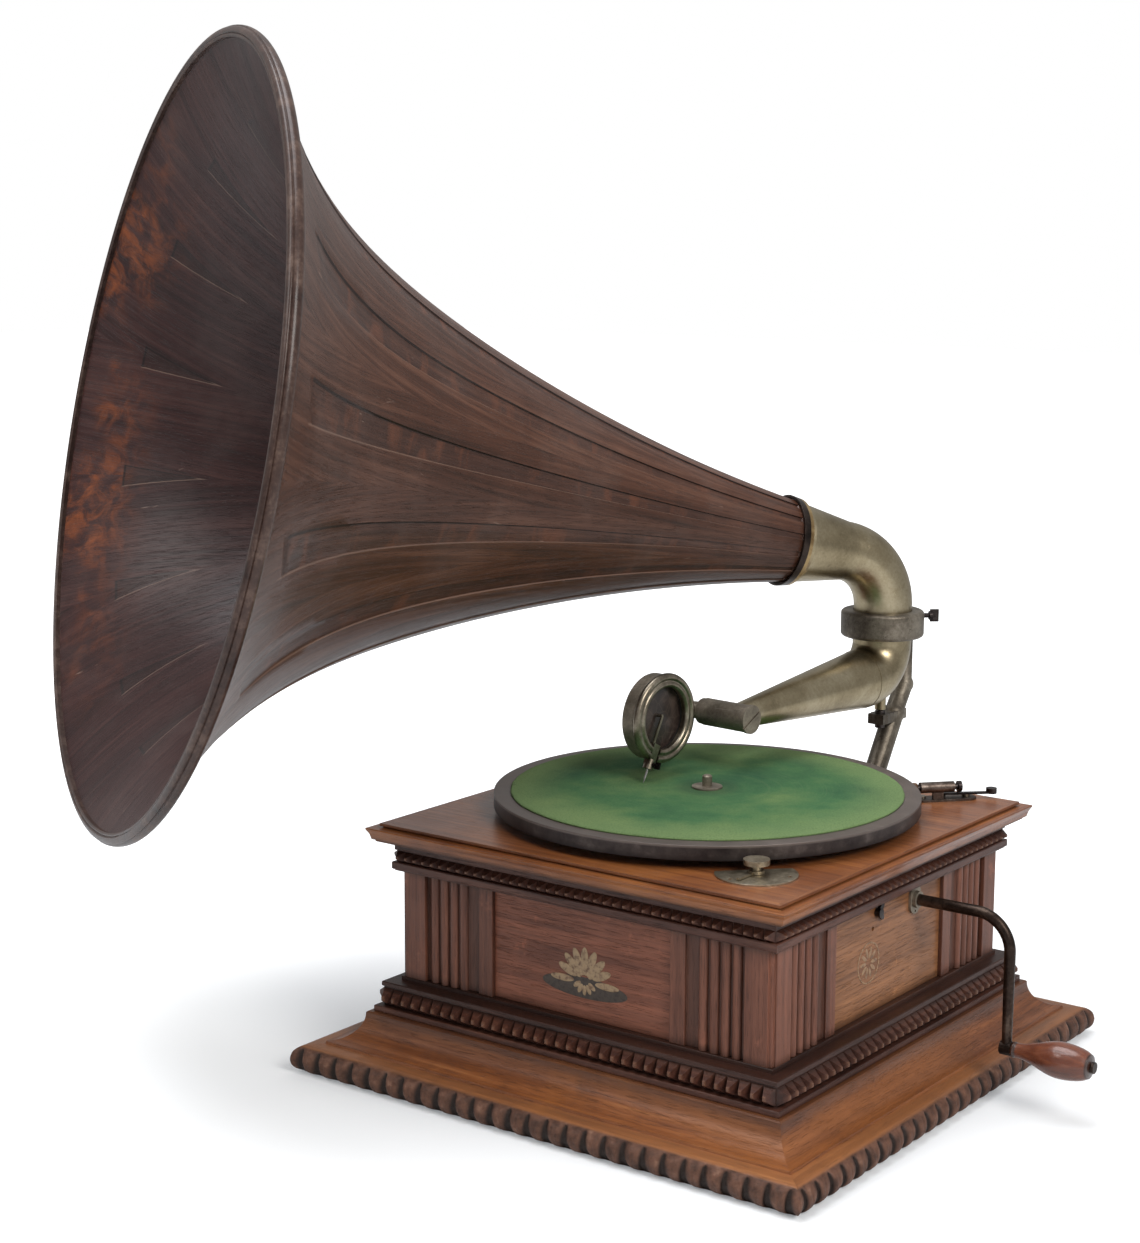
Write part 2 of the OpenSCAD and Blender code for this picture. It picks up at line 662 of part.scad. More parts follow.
module ratchet_pawl() {
    tip = [drum_x + 17 * cos(pawl_dir - 38) - pawl_x, drum_y + 17 * sin(pawl_dir - 38) - pawl_y];
    color("#5f5a52") translate([pawl_x, pawl_y, z_ratchet]) difference() {
        union() {
            cylinder(h = 3, d = 8);
            rotate([0, 0, atan2(tip[1], tip[0])]) translate([3, -0.4, 0.2]) cube([norm(tip) - 3.8, 2.6, 2.6]);
        }
        translate([0, 0, -1]) cylinder(h = 5, r = 2 + run_c);
    }
}
module middle_arbor() {
    dm = atan2(drum_y - mid_y, drum_x - mid_x);
    color("goldenrod") translate([mid_x, mid_y, 0]) {
        translate([0, 0, z_mbot + 0.5]) cylinder(h = plate_t + 27, d = 4);
        translate([0, 0, z_drum_gear - 1]) rotate([0, 0, dm + 180 + 180 / mid_pin_n + 180])
            linear_extrude(drum_gear_t + 2) wheel(mid_pin_n, drum_m);
        translate([0, 0, z_mid_gear]) rotate([0, 0, mid_dir + 180])
            linear_extrude(mid_gear_t) wheel(mid_n, mid_m);
        translate([0, 0, z_mid_gear + mid_gear_t - 1]) cylinder(h = 5, d = 8);
    }
}
module at_gov() { translate([gov_x, gov_y, 0]) children(); }
module governor_shaft() {
    color("silver") at_gov() {
        translate([0, 0, z_mbot + 0.5]) cylinder(h = z_mtop + plate_t - z_mbot - 1, d = 3);
        translate([0, 0, z_gov_gear - 2]) rotate([0, 0, gov_dir + 180 / gov_n])
            linear_extrude(8) wheel(gov_n, mid_m);
        translate([0, 0, z_gov_gear + 10]) cylinder(h = 5, d = 9.2);
    }
}
// Three weights on flat springs between a fixed collar and the sliding disc.
module governor_weights() {
    z0 = z_gov_gear + 10;
    z1 = z_disc - 5;
    color("#b08d3e") at_gov() difference() {
        for (a = [0, 120, 240]) rotate([0, 0, a]) {
            translate([4.2, -1.5, z0 + 1]) cube([0.8, 3, z1 - z0 + 3]);
            translate([8.2, 0, (z0 + z1) / 2]) rotate([0, 90, 0]) cylinder(h = 5, d = 8, center = true);
            translate([4.6, -1, (z0 + z1) / 2 - 1]) cube([2, 2, 2]);
        }
        translate([0, 0, z0 - 1]) cylinder(h = 6, d = 9.2);
        translate([0, 0, z1]) cylinder(h = 6, d = 9.2);
    }
}
module governor_disc() {
    color("#9f9a90") at_gov() difference() {
        union() {
            translate([0, 0, z_disc]) cylinder(h = 2.5, r = disc_r);
            translate([0, 0, z_disc - 5]) cylinder(h = 6, d = 9.2);
        }
        translate([0, 0, z_disc - 6]) cylinder(h = 10, d = 3);
    }
}

// Crank: straight shaft, a wide bend, and the throw hanging down to the grip's pin.
crank_bend = 25;
rod_x = hw + crank_out + 20;
module at_crank() { translate([0, crank_y, z_crank]) children(); }
module crank_rod() {
    cx = rod_x - crank_bend;
    x0 = drum_x + crown_r - 4;
    color("#2f2926") at_crank() {
        translate([x0, 0, 0]) rotate([0, 90, 0]) cylinder(h = cx - x0, d = crank_d);
        translate([cx, 0, -crank_bend]) rotate([90, 0, 0]) rotate_extrude(angle = 90)
            translate([crank_bend, 0]) circle(d = crank_d);
        translate([rod_x, 0, -crank_throw])
            cylinder(h = crank_throw - crank_bend, d1 = crank_d - 1, d2 = crank_d);
        translate([rod_x - 4, 0, -crank_throw]) rotate([0, 90, 0]) cylinder(h = 8, d = 10);
        translate([rod_x, 0, -crank_throw]) rotate([0, 90, 0]) cylinder(h = grip_len + 6, d = 4);
        translate([rod_x + grip_len + 5, 0, -crank_throw]) rotate([0, 90, 0]) cylinder(h = 2, d = 8);
    }
}
module crank_pinion() {
    color("goldenrod") at_crank() translate([drum_x + crown_r - 2.2, 0, 0]) rotate([0, 90, 0]) difference() {
        linear_extrude(4.4) wheel(crank_n, crank_m);
        translate([0, 0, -1]) cylinder(h = 7, d = crank_d);
    }
}
// How far the grip has swelled, from 0 at its neck to 1 at its thickest part, t of the way along.
function swell(t) = t < 0.62 ? (1 - cos(180 * t / 0.62)) / 2 : sqrt(1 - pow((t - 0.62) / 0.42, 2));
module crank_grip() {
    g = grip_d / 2;
    color("#6e2f1c") at_crank() translate([rod_x + 4.5, 0, -crank_throw]) rotate([0, 90, 0]) difference() {
        rotate_extrude() polygon([[0, 0], [5, 0], [5.5, 1.5], [5, 3],
            for (i = [0:14]) [5 + (g - 5) * swell(i / 14), 3 + (grip_len - 4) * i / 14],
            [4.5, grip_len], [0, grip_len]]);
        translate([0, 0, -1]) cylinder(h = grip_len + 4, r = 2 + run_c);
    }
}

// Cast bracket: foot on the case's back, bowed stem, shelf, rear upright and collar.
foot_z = z_case + case_h / 2;
foot_screws = [[-20, foot_z + 20], [20, foot_z + 20], [0, foot_z - 26]];
rear_y = axis_y + collar_d / 2 + 5;
z_shelf = z_bend - arm_bend_r - arm_r - 9;
stem_d = 17;
z_boss = z_bend - sqrt(pow(arm_bend_r + arm_r, 2) - pow(arm_bend_r - 2, 2)) - 2.5;
module rod_between(a, b, d) {
    v = b - a;
    translate(a) rotate([0, acos(v[2] / norm(v)), atan2(v[1], v[0])]) cylinder(h = norm(v), d = d);
}
module arm_bracket() {
    a = [0, panel_face + 13, foot_z];
    b = [0, axis_y - 8, z_shelf - 50];
    c = [0, rear_y - 16, z_shelf - 4];
    d = [0, rear_y, z_shelf + 18];
    e = [0, rear_y, z_collar + collar_h / 2];
    color("#847b66") difference() {
        union() {
            translate([0, panel_face, foot_z]) rotate([-90, 0, 0]) hull() {
                translate([-20, -20, 0]) cylinder(h = 6, d = 18);
                translate([20, -20, 0]) cylinder(h = 6, d = 18);
                translate([0, 26, 0]) cylinder(h = 6, d = 18);
            }
            rod_between([0, panel_face + 2, foot_z], a, 28);
            rod_between(a, b, stem_d + 3);
            rod_between(b, c, stem_d);
            rod_between(c, d, stem_d - 2);
            rod_between(d, e, 13);
            for (p = [[a, stem_d + 4], [b, stem_d + 4], [c, stem_d + 1], [d, stem_d - 1]])
                translate(p[0]) sphere(d = p[1]);
            translate([-7, axis_y - 7, z_shelf - 8]) cube([14, rear_y - axis_y, 8]);
            translate([0, axis_y, z_shelf - 8]) cylinder(h = 8, d = 15);
            translate([-6.5, axis_y + arm_r + 2, z_collar + 3])
                cube([13, rear_y - axis_y - arm_r + 2, collar_h - 6]);
            translate([0, axis_y, z_collar]) rotate_extrude() difference() {
                union() {
                    translate([0, 3]) square([collar_d / 2, collar_h - 6]);
                    square([collar_d / 2 - 3, collar_h]);
                    for (z = [3, collar_h - 3]) translate([collar_d / 2 - 3, z]) circle(r = 3);
                }
            }
        }
        translate([0, axis_y, z_web]) cylinder(h = 60, r = arm_r + seam + run_c);
        translate([0, axis_y, z_collar - 10])
            cylinder(h = z_web - web_t - z_collar + 10, r = arm_r + seam + run_c);
        translate([0, axis_y, z_collar - 5]) cylinder(h = 60, r = arm_r - 4);
        translate([0, axis_y, z_shelf - 20]) cylinder(h = 30, d = 4);
        translate([0, axis_y, z_collar + collar_h - 5]) rotate([0, 90, 40]) cylinder(h = 60, d = 4);
        for (p = foot_screws) translate([p[0], panel_face - 2, p[1]]) rotate([-90, 0, 0])
            cylinder(h = 12, d = 4.4);
    }
}
module bracket_screws() {
    y0 = panel_face - panel_t - 2;
    color("silver") for (p = foot_screws) translate([p[0], y0, p[1]]) rotate([-90, 0, 0]) {
        cylinder(h = panel_t + 9, d = 4);
        difference() {
            translate([0, 0, panel_t + 8]) cylinder(h = 2.4, d = 8);
            translate([-5, -0.5, panel_t + 9.4]) cube([10, 1, 3]);
        }
    }
}
module horn_thumb_screw() {
    color("#6f6656") translate([0, axis_y, z_collar + collar_h - 5]) rotate([0, 90, 40]) {
        translate([0, 0, arm_r + 0.6]) cylinder(h = 16, d = 3.8);
        translate([0, 0, arm_r + 14]) cylinder(h = 3, d = 7);
        translate([-5, -1, arm_r + 15]) cube([10, 2, 7]);
    }
}
module arm_pivot_screw() {
    color("#4a453f") translate([0, axis_y, 0]) {
        translate([0, 0, z_shelf - 10]) cylinder(h = z_boss - z_shelf + 9, d = 3.9);
        translate([0, 0, z_shelf]) cylinder(h = 2.5, d = 8);
        translate([0, 0, z_shelf - 11.5]) cylinder(h = 3.5, d = 8);
    }
}

module at_arm() { translate([0, axis_y, 0]) rotate([0, 0, arm_dir]) children(); }
// Hollow lengths of pipe: straight or tapered, and a bend that starts downwards or upwards.
module pipe(h, r1, r2, w = tube_wall) {
    difference() {
        cylinder(h = h, r1 = r1, r2 = r2);
        translate([0, 0, -1]) cylinder(h = h + 2, r1 = r1 - w + (r1 - r2) / h, r2 = r2 - w - (r1 - r2) / h);
    }
}
module pipe_bend(bend, r, turn, from) {
    translate([bend, 0, 0]) rotate([90, 0, 0]) rotate([0, 0, from]) rotate_extrude(angle = turn)
        translate([bend, 0]) difference() { circle(r = r); circle(r = r - tube_wall); }
}
module tone_arm() {
    z_top_end = z_web - web_t - gap;
    color("#8f8460") at_arm() difference() {
        union() {
            translate([0, 0, z_bend - 1]) pipe(z_top_end - z_bend + 1, arm_r + seam, arm_r + seam);
            translate([0, 0, z_bend]) pipe_bend(arm_bend_r, arm_r, 90 - arm_fall, 180);
            translate([bend_end_x, 0, bend_end_z]) rotate([0, 90 + arm_fall, 0]) {
                translate([0, 0, -1]) pipe(band_w + 1, arm_r + seam, arm_r + seam);
                translate([0, 0, band_w - 1]) pipe(taper_len - band_w + 1, arm_r, arm_tip_d / 2);
            }
            translate([0, 0, z_shelf + 3.5]) pipe(z_boss - z_shelf - 3.5, 4.5, 4.5, 4.5 - 1.95 - gap);
            translate([0, 0, z_boss - 0.5]) cylinder(h = 8, d = 9.3);
        }
        translate([arm_len, 0, z_barrel]) rotate([90, 0, 0]) cylinder(h = 90, d = barrel_d, center = true);
    }
}
module arm_barrel() {
    color("#7d745c") at_arm() translate([arm_len, 0, z_barrel]) rotate([90, 0, 0]) difference() {
        translate([0, 0, -cap_y]) cylinder(h = cap_y - barrel_back, d = barrel_d);
        translate([0, 0, -cap_y - 1]) cylinder(h = cap_y - barrel_back + 2, r = crook_d / 2 + 1 + run_c);
        rotate([0, -90, 0]) cylinder(h = 20, d = arm_tip_d - 2 * tube_wall - 2);
    }
}
// The crook's own frame: X along the crook, Y along the barrel's axis, turned up by its rise.
module at_crook() { at_arm() translate([arm_len, 0, z_barrel]) rotate([0, -crook_rise, 0]) children(); }
module barrel_cap() {
    color("#9a9174") at_crook() translate([0, cap_y + gap, 0]) rotate([-90, 0, 0]) difference() {
        union() {
            cylinder(h = cap_t, d = barrel_d + 1);
            translate([0, 0, -6]) cylinder(h = 7, d = crook_d - 2.6);
        }
        rotate([0, 0, 35]) translate([-20, -0.7, cap_t - 1.2]) cube([40, 1.4, 3]);
    }
}
module crook_skin(w) {
    e = w > 0 ? 1 : 0;
    y0 = barrel_back - gap - 3;
    r = crook_d / 2 - w;
    translate([0, y0, 0]) rotate([-90, 0, 0]) cylinder(h = cap_y - y0 - 1 + e, r = r + 1);
    translate([crook_r, y0, 0]) rotate([0, 0, 180]) rotate_extrude(angle = 90)
        translate([crook_r, 0]) circle(r = r);
    translate([crook_r, y0 - crook_r, 0]) rotate([0, 90, 0]) cylinder(h = crook_len - 2 * crook_r, r = r);
    translate([crook_len - crook_r, y0, 0]) rotate([0, 0, 270]) rotate_extrude(angle = 90)
        translate([crook_r, 0]) circle(r = r);
    translate([crook_len, y0, 0]) rotate([-90, 0, 0]) cylinder(h = box_back - y0 + e, r = r);
}
module crook() {
    color("#8a8060") at_crook() difference() {
        union() {
            crook_skin(0);
            translate([0, barrel_back - gap - 3, 0]) rotate([-90, 0, 0]) cylinder(h = 3, d = barrel_d - 1);
        }
        crook_skin(1.4);
        translate([0, -crook_d / 2, 0]) rotate([0, -90, 0]) cylinder(h = 20, d = 10);
        translate([-20, -6.5, -6.5]) cube([20, 13, 13]);
    }
}

// The sound box's frame: Z out through its front, X towards the needle.
module at_box() {
    at_arm() translate([arm_len + box_x, box_back, box_z]) rotate([-90, 0, 0])
        rotate([0, 0, needle_slope]) children();
}
module box_shell() {
    color("#6a5a3e") at_box() difference() {
        cylinder(h = box_t, r = box_r - 1.5);
        translate([0, 0, 2.5]) cylinder(h = box_t, r = box_r - 6);
        translate([0, 0, -1]) cylinder(h = 5, r = crook_d / 2 - 1.4);
    }
}
module box_ring() {
    color("#b5aa80") at_box() translate([0, 0, box_t]) difference() {
        rotate_extrude() union() {
            translate([box_r - 9.5, 0]) square([7, ring_t - 1]);
            translate([box_r - 3, 3]) circle(r = 3);
            translate([box_r - 8, ring_t - 2.5]) circle(r = 2.5);
            translate([box_r - 8, 0.5]) square([5, ring_t - 1.5]);
        }
        translate([box_r - 14, -4.5, -1]) cube([20, 9, ring_t + 4]);
    }
}
module box_gaskets() {
    color("#2b2624") at_box() for (z = [box_t - 4.1, box_t - 1.9]) translate([0, 0, z]) difference() {
        cylinder(h = 1.6, r = box_r - 6);
        translate([0, 0, -1]) cylinder(h = 4, r = box_r - 9);
    }
}
module diaphragm() {
    color("#4a2a20") at_box() translate([0, 0, box_t - 2.5]) cylinder(h = 0.6, r = box_r - 7);
}
module stylus_bar() {
    color("#8f886f") at_box() difference() {
        union() {
            translate([-1, -1, box_t - 1.9]) cylinder(h = 3.6, d = 2.4);
            translate([-1, -2, box_t + 1]) cube([box_r, 2, 1.2]);
            translate([box_r - 13, -3.5, box_t]) cube([16, 7, ring_t - 1]);
            translate([box_r - 1.4, 0, box_t + 3]) rotate([0, 90, 0]) cylinder(h = 7.4, d = 7);
            translate([box_r + 3, 0, box_t + 3]) rotate([0, 90, 0]) cylinder(h = 3, d = 8);
        }
        translate([box_r - 5, 0, box_t + 3]) rotate([0, 90, 0]) cylinder(h = 14, r = 0.8 + run_c);
        translate([box_r + 2.4, 0, box_t + 3]) cylinder(h = 9, r = 1.1 + run_c);
    }
}
module needle_screw() {
    color("#5c5646") at_box() translate([box_r + 2.4, 0, box_t + 3]) {
        translate([0, 0, 1.1]) cylinder(h = 7, r = 1.1);
        translate([0, 0, 4.6]) cylinder(h = 1.5, d = 4);
        translate([-2.6, -0.7, 5.5]) cube([5.2, 1.4, 4.5]);
    }
}
module needle() {
    color("silver") at_box() translate([box_r + 0.5, 0, box_t + 3]) rotate([0, 90, 0]) {
        cylinder(h = tip_r - box_r - 4.5, r = 0.8);
        translate([0, 0, tip_r - box_r - 4.5]) cylinder(h = 4, r1 = 0.8, r2 = 0.15);
    }
}

module at_horn() {
    translate([0, axis_y, 0]) rotate([0, 0, horn_dir]) translate([elbow_x, 0, elbow_z])
        rotate([0, 90 - horn_rise, 0]) translate([0, 0, elbow_cone]) children();
}
module horn_elbow() {
    ri = throat_r - horn_wall - gap;
    color("#8f8460") union() {
        translate([0, axis_y, 0]) rotate([0, 0, horn_dir]) {
            translate([0, 0, z_web + gap]) pipe(z_elbow - z_web - gap + 1, arm_r - seam, arm_r - seam);
            translate([0, 0, z_elbow]) pipe_bend(elbow_bend_r, arm_r, elbow_turn, 180 - elbow_turn);
        }
        at_horn() translate([0, 0, -elbow_cone - 1]) pipe(elbow_cone - 1, arm_r - seam, throat_r - 0.5);
        at_horn() translate([0, 0, -3]) pipe(3, throat_r, throat_r, throat_r - ri + 2);
        at_horn() translate([0, 0, -1]) pipe(spigot_len + 1, ri, ri);
    }
}
module horn_ferrule() {
    color("#2e2019") at_horn() difference() {
        translate([0, 0, 0.5]) cylinder(h = 9, r1 = throat_r + 2.5, r2 = throat_r + 4);
        translate([0, 0, -1]) cylinder(h = 12, r1 = throat_r, r2 = throat_r + 2.4);
    }
}
// Radius of the horn's outside along its length, and its slope.
function flare(t) = throat_r + (mouth_r - throat_r) * t * (0.286 + 0.424 * t + 0.29 * pow(t, 8));
function slope(t) = (mouth_r - throat_r) * (0.286 + 0.848 * t + 2.61 * pow(t, 8)) / horn_len;
module flare_outline() {
    ts = [for (i = [0:28]) pow(i / 28, 0.8)];
    outer = [for (t = ts) [flare(t), t * horn_len]];
    inner = [for (t = ts) let (k = slope(t), n = sqrt(1 + k * k))
        t == 0 ? [flare(t) - horn_wall, 0] : [flare(t) - horn_wall / n, t * horn_len + horn_wall * k / n]];
    polygon(concat(outer, [for (i = [len(inner) - 1:-1:0]) inner[i]]));
}
module horn_flare() {
    color("#6b3a2a") at_horn() difference() {
        rotate_extrude($fn = 96) flare_outline();
        translate([0, 0, -1]) cylinder(h = spigot_len + 2, r = throat_r - horn_wall);
    }
}
module horn_bead() {
    color("#4a2a1e") at_horn() rotate_extrude($fn = 96) difference() {
        translate([mouth_r, horn_len + 2.5]) circle(d = bead_d);
        flare_outline();
        translate([0, horn_len - 40]) square([mouth_r - 3.6, 80]);
    }
}

base_moulding();
bottom_board();
waist_moulding();
front_panel();
rear_panel();
left_panel();
right_panel();
corner_posts();
cornice_moulding();
top_board();
crank_escutcheon();
side_catch();
speed_dial();
speed_knob();
speed_lever();
brake_plate();
brake_housing();
brake_plunger();
brake_pad();
brake_lever();
brake_screws();
platter();
felt_mat();
spindle();
motor_top_plate();
motor_bottom_plate();
motor_pillars();
motor_bushes();
spring_drum();
drum_cover();
mainspring();
winding_arbor();
crown_wheel();
ratchet_pawl();
middle_arbor();
governor_shaft();
governor_weights();
governor_disc();
crank_rod();
crank_pinion();
crank_grip();
arm_bracket();
bracket_screws();
horn_thumb_screw();
arm_pivot_screw();
tone_arm();
arm_barrel();
barrel_cap();
crook();
box_shell();
box_ring();
box_gaskets();
diaphragm();
stylus_bar();
needle_screw();
needle();
horn_elbow();
horn_ferrule();
horn_flare();
horn_bead();
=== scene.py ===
import json
import math

import bmesh
import bpy
from mathutils import Matrix, Vector, noise

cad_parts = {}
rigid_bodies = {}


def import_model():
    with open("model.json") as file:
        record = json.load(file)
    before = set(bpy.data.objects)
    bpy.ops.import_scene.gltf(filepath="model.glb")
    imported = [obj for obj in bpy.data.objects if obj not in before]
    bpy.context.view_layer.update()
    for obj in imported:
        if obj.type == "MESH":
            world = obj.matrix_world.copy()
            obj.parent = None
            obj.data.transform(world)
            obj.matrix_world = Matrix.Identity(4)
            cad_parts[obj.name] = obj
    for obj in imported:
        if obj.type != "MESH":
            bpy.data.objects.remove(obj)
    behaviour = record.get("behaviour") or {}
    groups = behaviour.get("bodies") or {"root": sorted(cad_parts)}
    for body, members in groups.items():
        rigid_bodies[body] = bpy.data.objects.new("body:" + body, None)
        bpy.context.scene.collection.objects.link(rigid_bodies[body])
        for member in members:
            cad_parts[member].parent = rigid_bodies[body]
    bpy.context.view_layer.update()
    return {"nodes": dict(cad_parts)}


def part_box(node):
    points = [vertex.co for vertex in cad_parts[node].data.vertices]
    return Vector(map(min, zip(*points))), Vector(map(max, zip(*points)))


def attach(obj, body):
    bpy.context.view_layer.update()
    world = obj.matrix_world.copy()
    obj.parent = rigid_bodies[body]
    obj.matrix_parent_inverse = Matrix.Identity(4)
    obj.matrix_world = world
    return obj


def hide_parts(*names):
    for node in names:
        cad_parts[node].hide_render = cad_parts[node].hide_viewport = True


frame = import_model()
nodes = frame["nodes"]

# The studio: the camera stands to the right of the case's front corner, a little above the turntable, and
# looks along the horn. Large soft lights stand at the right, overhead and high at the front left; the walls
# are white.
scene_objects = bpy.context.scene.collection.objects
turn = math.radians(35.6)
tilt = math.radians(9.385)
lean = 0.0079
back = Vector((math.sin(turn) * math.cos(tilt), -math.cos(turn) * math.cos(tilt), math.sin(tilt)))
level = Vector((0, 0, 1)).cross(back).normalized()
over = back.cross(level)
camera_data = bpy.data.cameras.new("camera")
camera_data.sensor_width = 36
camera_data.lens = 67.07
camera_data.shift_x = -0.0453
camera_data.shift_y = -0.0119
camera = bpy.data.objects.new("camera", camera_data)
camera_right = level * math.cos(lean) + over * math.sin(lean)
camera_up = over * math.cos(lean) - level * math.sin(lean)
camera.matrix_world = Matrix.Translation((0.8913, -1.3460, 0.5948)) @ Matrix(
    (camera_right, camera_up, back)).transposed().to_4x4()
scene_objects.link(camera)
bpy.context.scene.camera = camera
bpy.context.scene.view_settings.view_transform = "Standard"


def soft_light(name, place, target, size, power, colour):
    lamp = bpy.data.lights.new(name, "AREA")
    lamp.shape = "DISK"
    lamp.size = size
    lamp.energy = power
    lamp.color = colour
    holder = bpy.data.objects.new(name, lamp)
    holder.location = place
    holder.rotation_euler = (Vector(target) - Vector(place)).to_track_quat("-Z", "Y").to_euler()
    scene_objects.link(holder)


soft_light("key_light", (2.2, -0.7, 1.9), (0, 0, 0.2), 1.3, 44, (1.0, 0.97, 0.93))
soft_light("top_light", (-0.5, -0.2, 2.4), (0, 0, 0.2), 2.0, 42, (0.95, 0.97, 1.0))
soft_light("front_light", (-1.5, -2.2, 2.4), (-0.2, -0.3, 0.3), 1.6, 26, (1.0, 0.98, 0.96))

world = bpy.data.worlds.new("white_room")
world.use_nodes = True
bpy.context.scene.world = world
sky = world.node_tree.nodes["Background"]
sky.inputs["Color"].default_value = (1, 1, 1, 1)
seen = world.node_tree.nodes.new("ShaderNodeLightPath")
strength = world.node_tree.nodes.new("ShaderNodeMapRange")
strength.inputs["To Min"].default_value = 0.40
strength.inputs["To Max"].default_value = 1.0
world.node_tree.links.new(seen.outputs["Is Camera Ray"], strength.inputs["Value"])
world.node_tree.links.new(strength.outputs["Result"], sky.inputs["Strength"])


# The floor: a white sheet under the object, wide enough to meet the white wall. Only the camera sees its
# glow, which dims close to the object like a soft shadow.
class Shade:
    """A number on its way through a finish: + - * / and ** on it add Math nodes."""

    def __init__(self, finish, socket):
        self.finish = finish
        self.socket = socket

    def math(self, operation, a, b):
        return self.finish.math(operation, a, b)

    def __add__(self, other):
        return self.math("ADD", self, other)

    def __sub__(self, other):
        return self.math("SUBTRACT", self, other)

    def __rsub__(self, other):
        return self.math("SUBTRACT", other, self)

    def __mul__(self, other):
        return self.math("MULTIPLY", self, other)

    def __truediv__(self, other):
        return self.math("DIVIDE", self, other)

    def __pow__(self, other):
        return self.math("POWER", self, other)

    def __abs__(self):
        return self.math("ABSOLUTE", self, 0)

    __radd__ = __add__
    __rmul__ = __mul__


class Finish:
    """One finish of the object: a Principled shader and the nodes that feed it."""

    def __init__(self, name, **constants):
        self.material = bpy.data.materials.new(name)
        self.material.use_nodes = True
        self.tree = self.material.node_tree
        self.shader = self.tree.nodes["Principled BSDF"]
        for socket, value in constants.items():
            self.shader.inputs[socket.replace("_", " ")].default_value = value

    def node(self, kind, settings, sockets, out=0):
        made = self.tree.nodes.new(kind)
        for setting, value in settings.items():
            if setting == "stops":
                while len(made.color_ramp.elements) < len(value):
                    made.color_ramp.elements.new(0.5)
                for element, (at, colour) in zip(made.color_ramp.elements, value):
                    element.position = at
                    element.color = (*colour, 1)
            else:
                setattr(made, setting, value)
        for socket, value in sockets.items():
            if isinstance(value, Shade):
                self.tree.links.new(value.socket, made.inputs[socket])
            else:
                made.inputs[socket].default_value = value
        return Shade(self, made.outputs[out])

    def math(self, operation, a, b):
        return self.node("ShaderNodeMath", {"operation": operation}, {0: a, 1: b})

    def place(self):
        return self.node("ShaderNodeTexCoord", {}, {}, "Object")

    def attribute(self, name):
        return self.node("ShaderNodeAttribute", {"attribute_name": name}, {}, "Fac")

    def split(self, vector):
        return [self.node("ShaderNodeSeparateXYZ", {}, {0: vector}, axis) for axis in range(3)]

    def join(self, x, y, z):
        return self.node("ShaderNodeCombineXYZ", {}, {0: x, 1: y, 2: z})

    def noise(self, vector, stretch, detail=3.0, rough=0.55, warp=0.0):
        scaled = self.node("ShaderNodeMapping", {}, {"Vector": vector, "Scale": stretch})
        return self.node("ShaderNodeTexNoise", {}, {
            "Vector": scaled, "Scale": 1.0, "Detail": detail, "Roughness": rough, "Distortion": warp})

    def even_noise(self, scale, detail=3.0, rough=0.55, warp=0.0):
        return self.noise(self.place(), (scale, scale, scale), detail, rough, warp)

    def along_sides(self, share=1.0):
        """Where a point of the case is: along its side, out from the middle, and up."""
        x, y, z = self.split(self.place())
        side = self.math("GREATER_THAN", abs(x), abs(y)) * share
        return x + (y - x) * side, y + (x - y) * side, z

    def distance_along(self, direction, start):
        """How far a point lies from start in one direction."""
        offset = self.node("ShaderNodeVectorMath", {"operation": "SUBTRACT"}, {0: self.place(), 1: start})
        return self.node("ShaderNodeVectorMath", {"operation": "DOT_PRODUCT"}, {
            0: offset, 1: direction}, "Value")

    def rise(self, value, low, high):
        return self.node("ShaderNodeMapRange", {"interpolation_type": "SMOOTHSTEP"}, {
            "Value": value, "From Min": low, "From Max": high})

    def ramp(self, value, *stops):
        return self.node("ShaderNodeValToRGB", {"stops": stops}, {"Fac": value})

    def mix(self, amount, a, b):
        a = a if isinstance(a, Shade) else (*a, 1)
        b = b if isinstance(b, Shade) else (*b, 1)
        return self.node("ShaderNodeMix", {"data_type": "RGBA"}, {0: amount, 6: a, 7: b}, 2)

    def lay(self, colour, roughness, height, depth, **others):
        bump = self.node("ShaderNodeBump", {}, {"Height": height, "Distance": depth})
        fed = {"Base Color": colour, "Roughness": roughness, "Normal": bump}
        fed.update({socket.replace("_", " "): value for socket, value in others.items()})
        for socket, value in fed.items():
            self.tree.links.new(value.socket, self.shader.inputs[socket])


floor_mesh = bpy.data.meshes.new("floor")
half_floor = 9
corners = [(x * half_floor, y * half_floor, 0) for x, y in ((-1, -1), (1, -1), (1, 1), (-1, 1))]
floor_mesh.from_pydata(corners, [], [(0, 1, 2, 3)])
floor = bpy.data.objects.new("floor", floor_mesh)
scene_objects.link(floor)
paper = Finish("white_floor", Roughness=0.9, Base_Color=(0.72, 0.735, 0.75, 1), Emission_Strength=1.0)
straight = paper.node("ShaderNodeLightPath", {}, {}, "Is Camera Ray")
near = paper.node("ShaderNodeAmbientOcclusion", {"samples": 8}, {"Distance": 0.34}, "AO")
pale = paper.mix(near ** 4.0, (0.20, 0.21, 0.22), (0.60, 0.60, 0.60))
x, y, z = paper.split(paper.place())
pale = paper.mix(paper.rise((x * x + y * y) ** 0.5, 0.7, 1.5), pale, (1, 1, 1))
paper.tree.links.new(paper.mix(straight, (0, 0, 0), pale).socket, paper.shader.inputs["Emission Color"])
floor_mesh.materials.append(paper.material)


# Cove base: four mitred lengths of mahogany, hollowed along their top and carved along their thick outer
# edge with a row of tongues that narrow towards the floor. The carving is stained dark, and the grooves
# between its tongues are painted darker as shade; the top of the cove is painted darker as shadow under the
# case.
def toned(colour, by):
    return tuple(min(1, by * c) for c in colour)


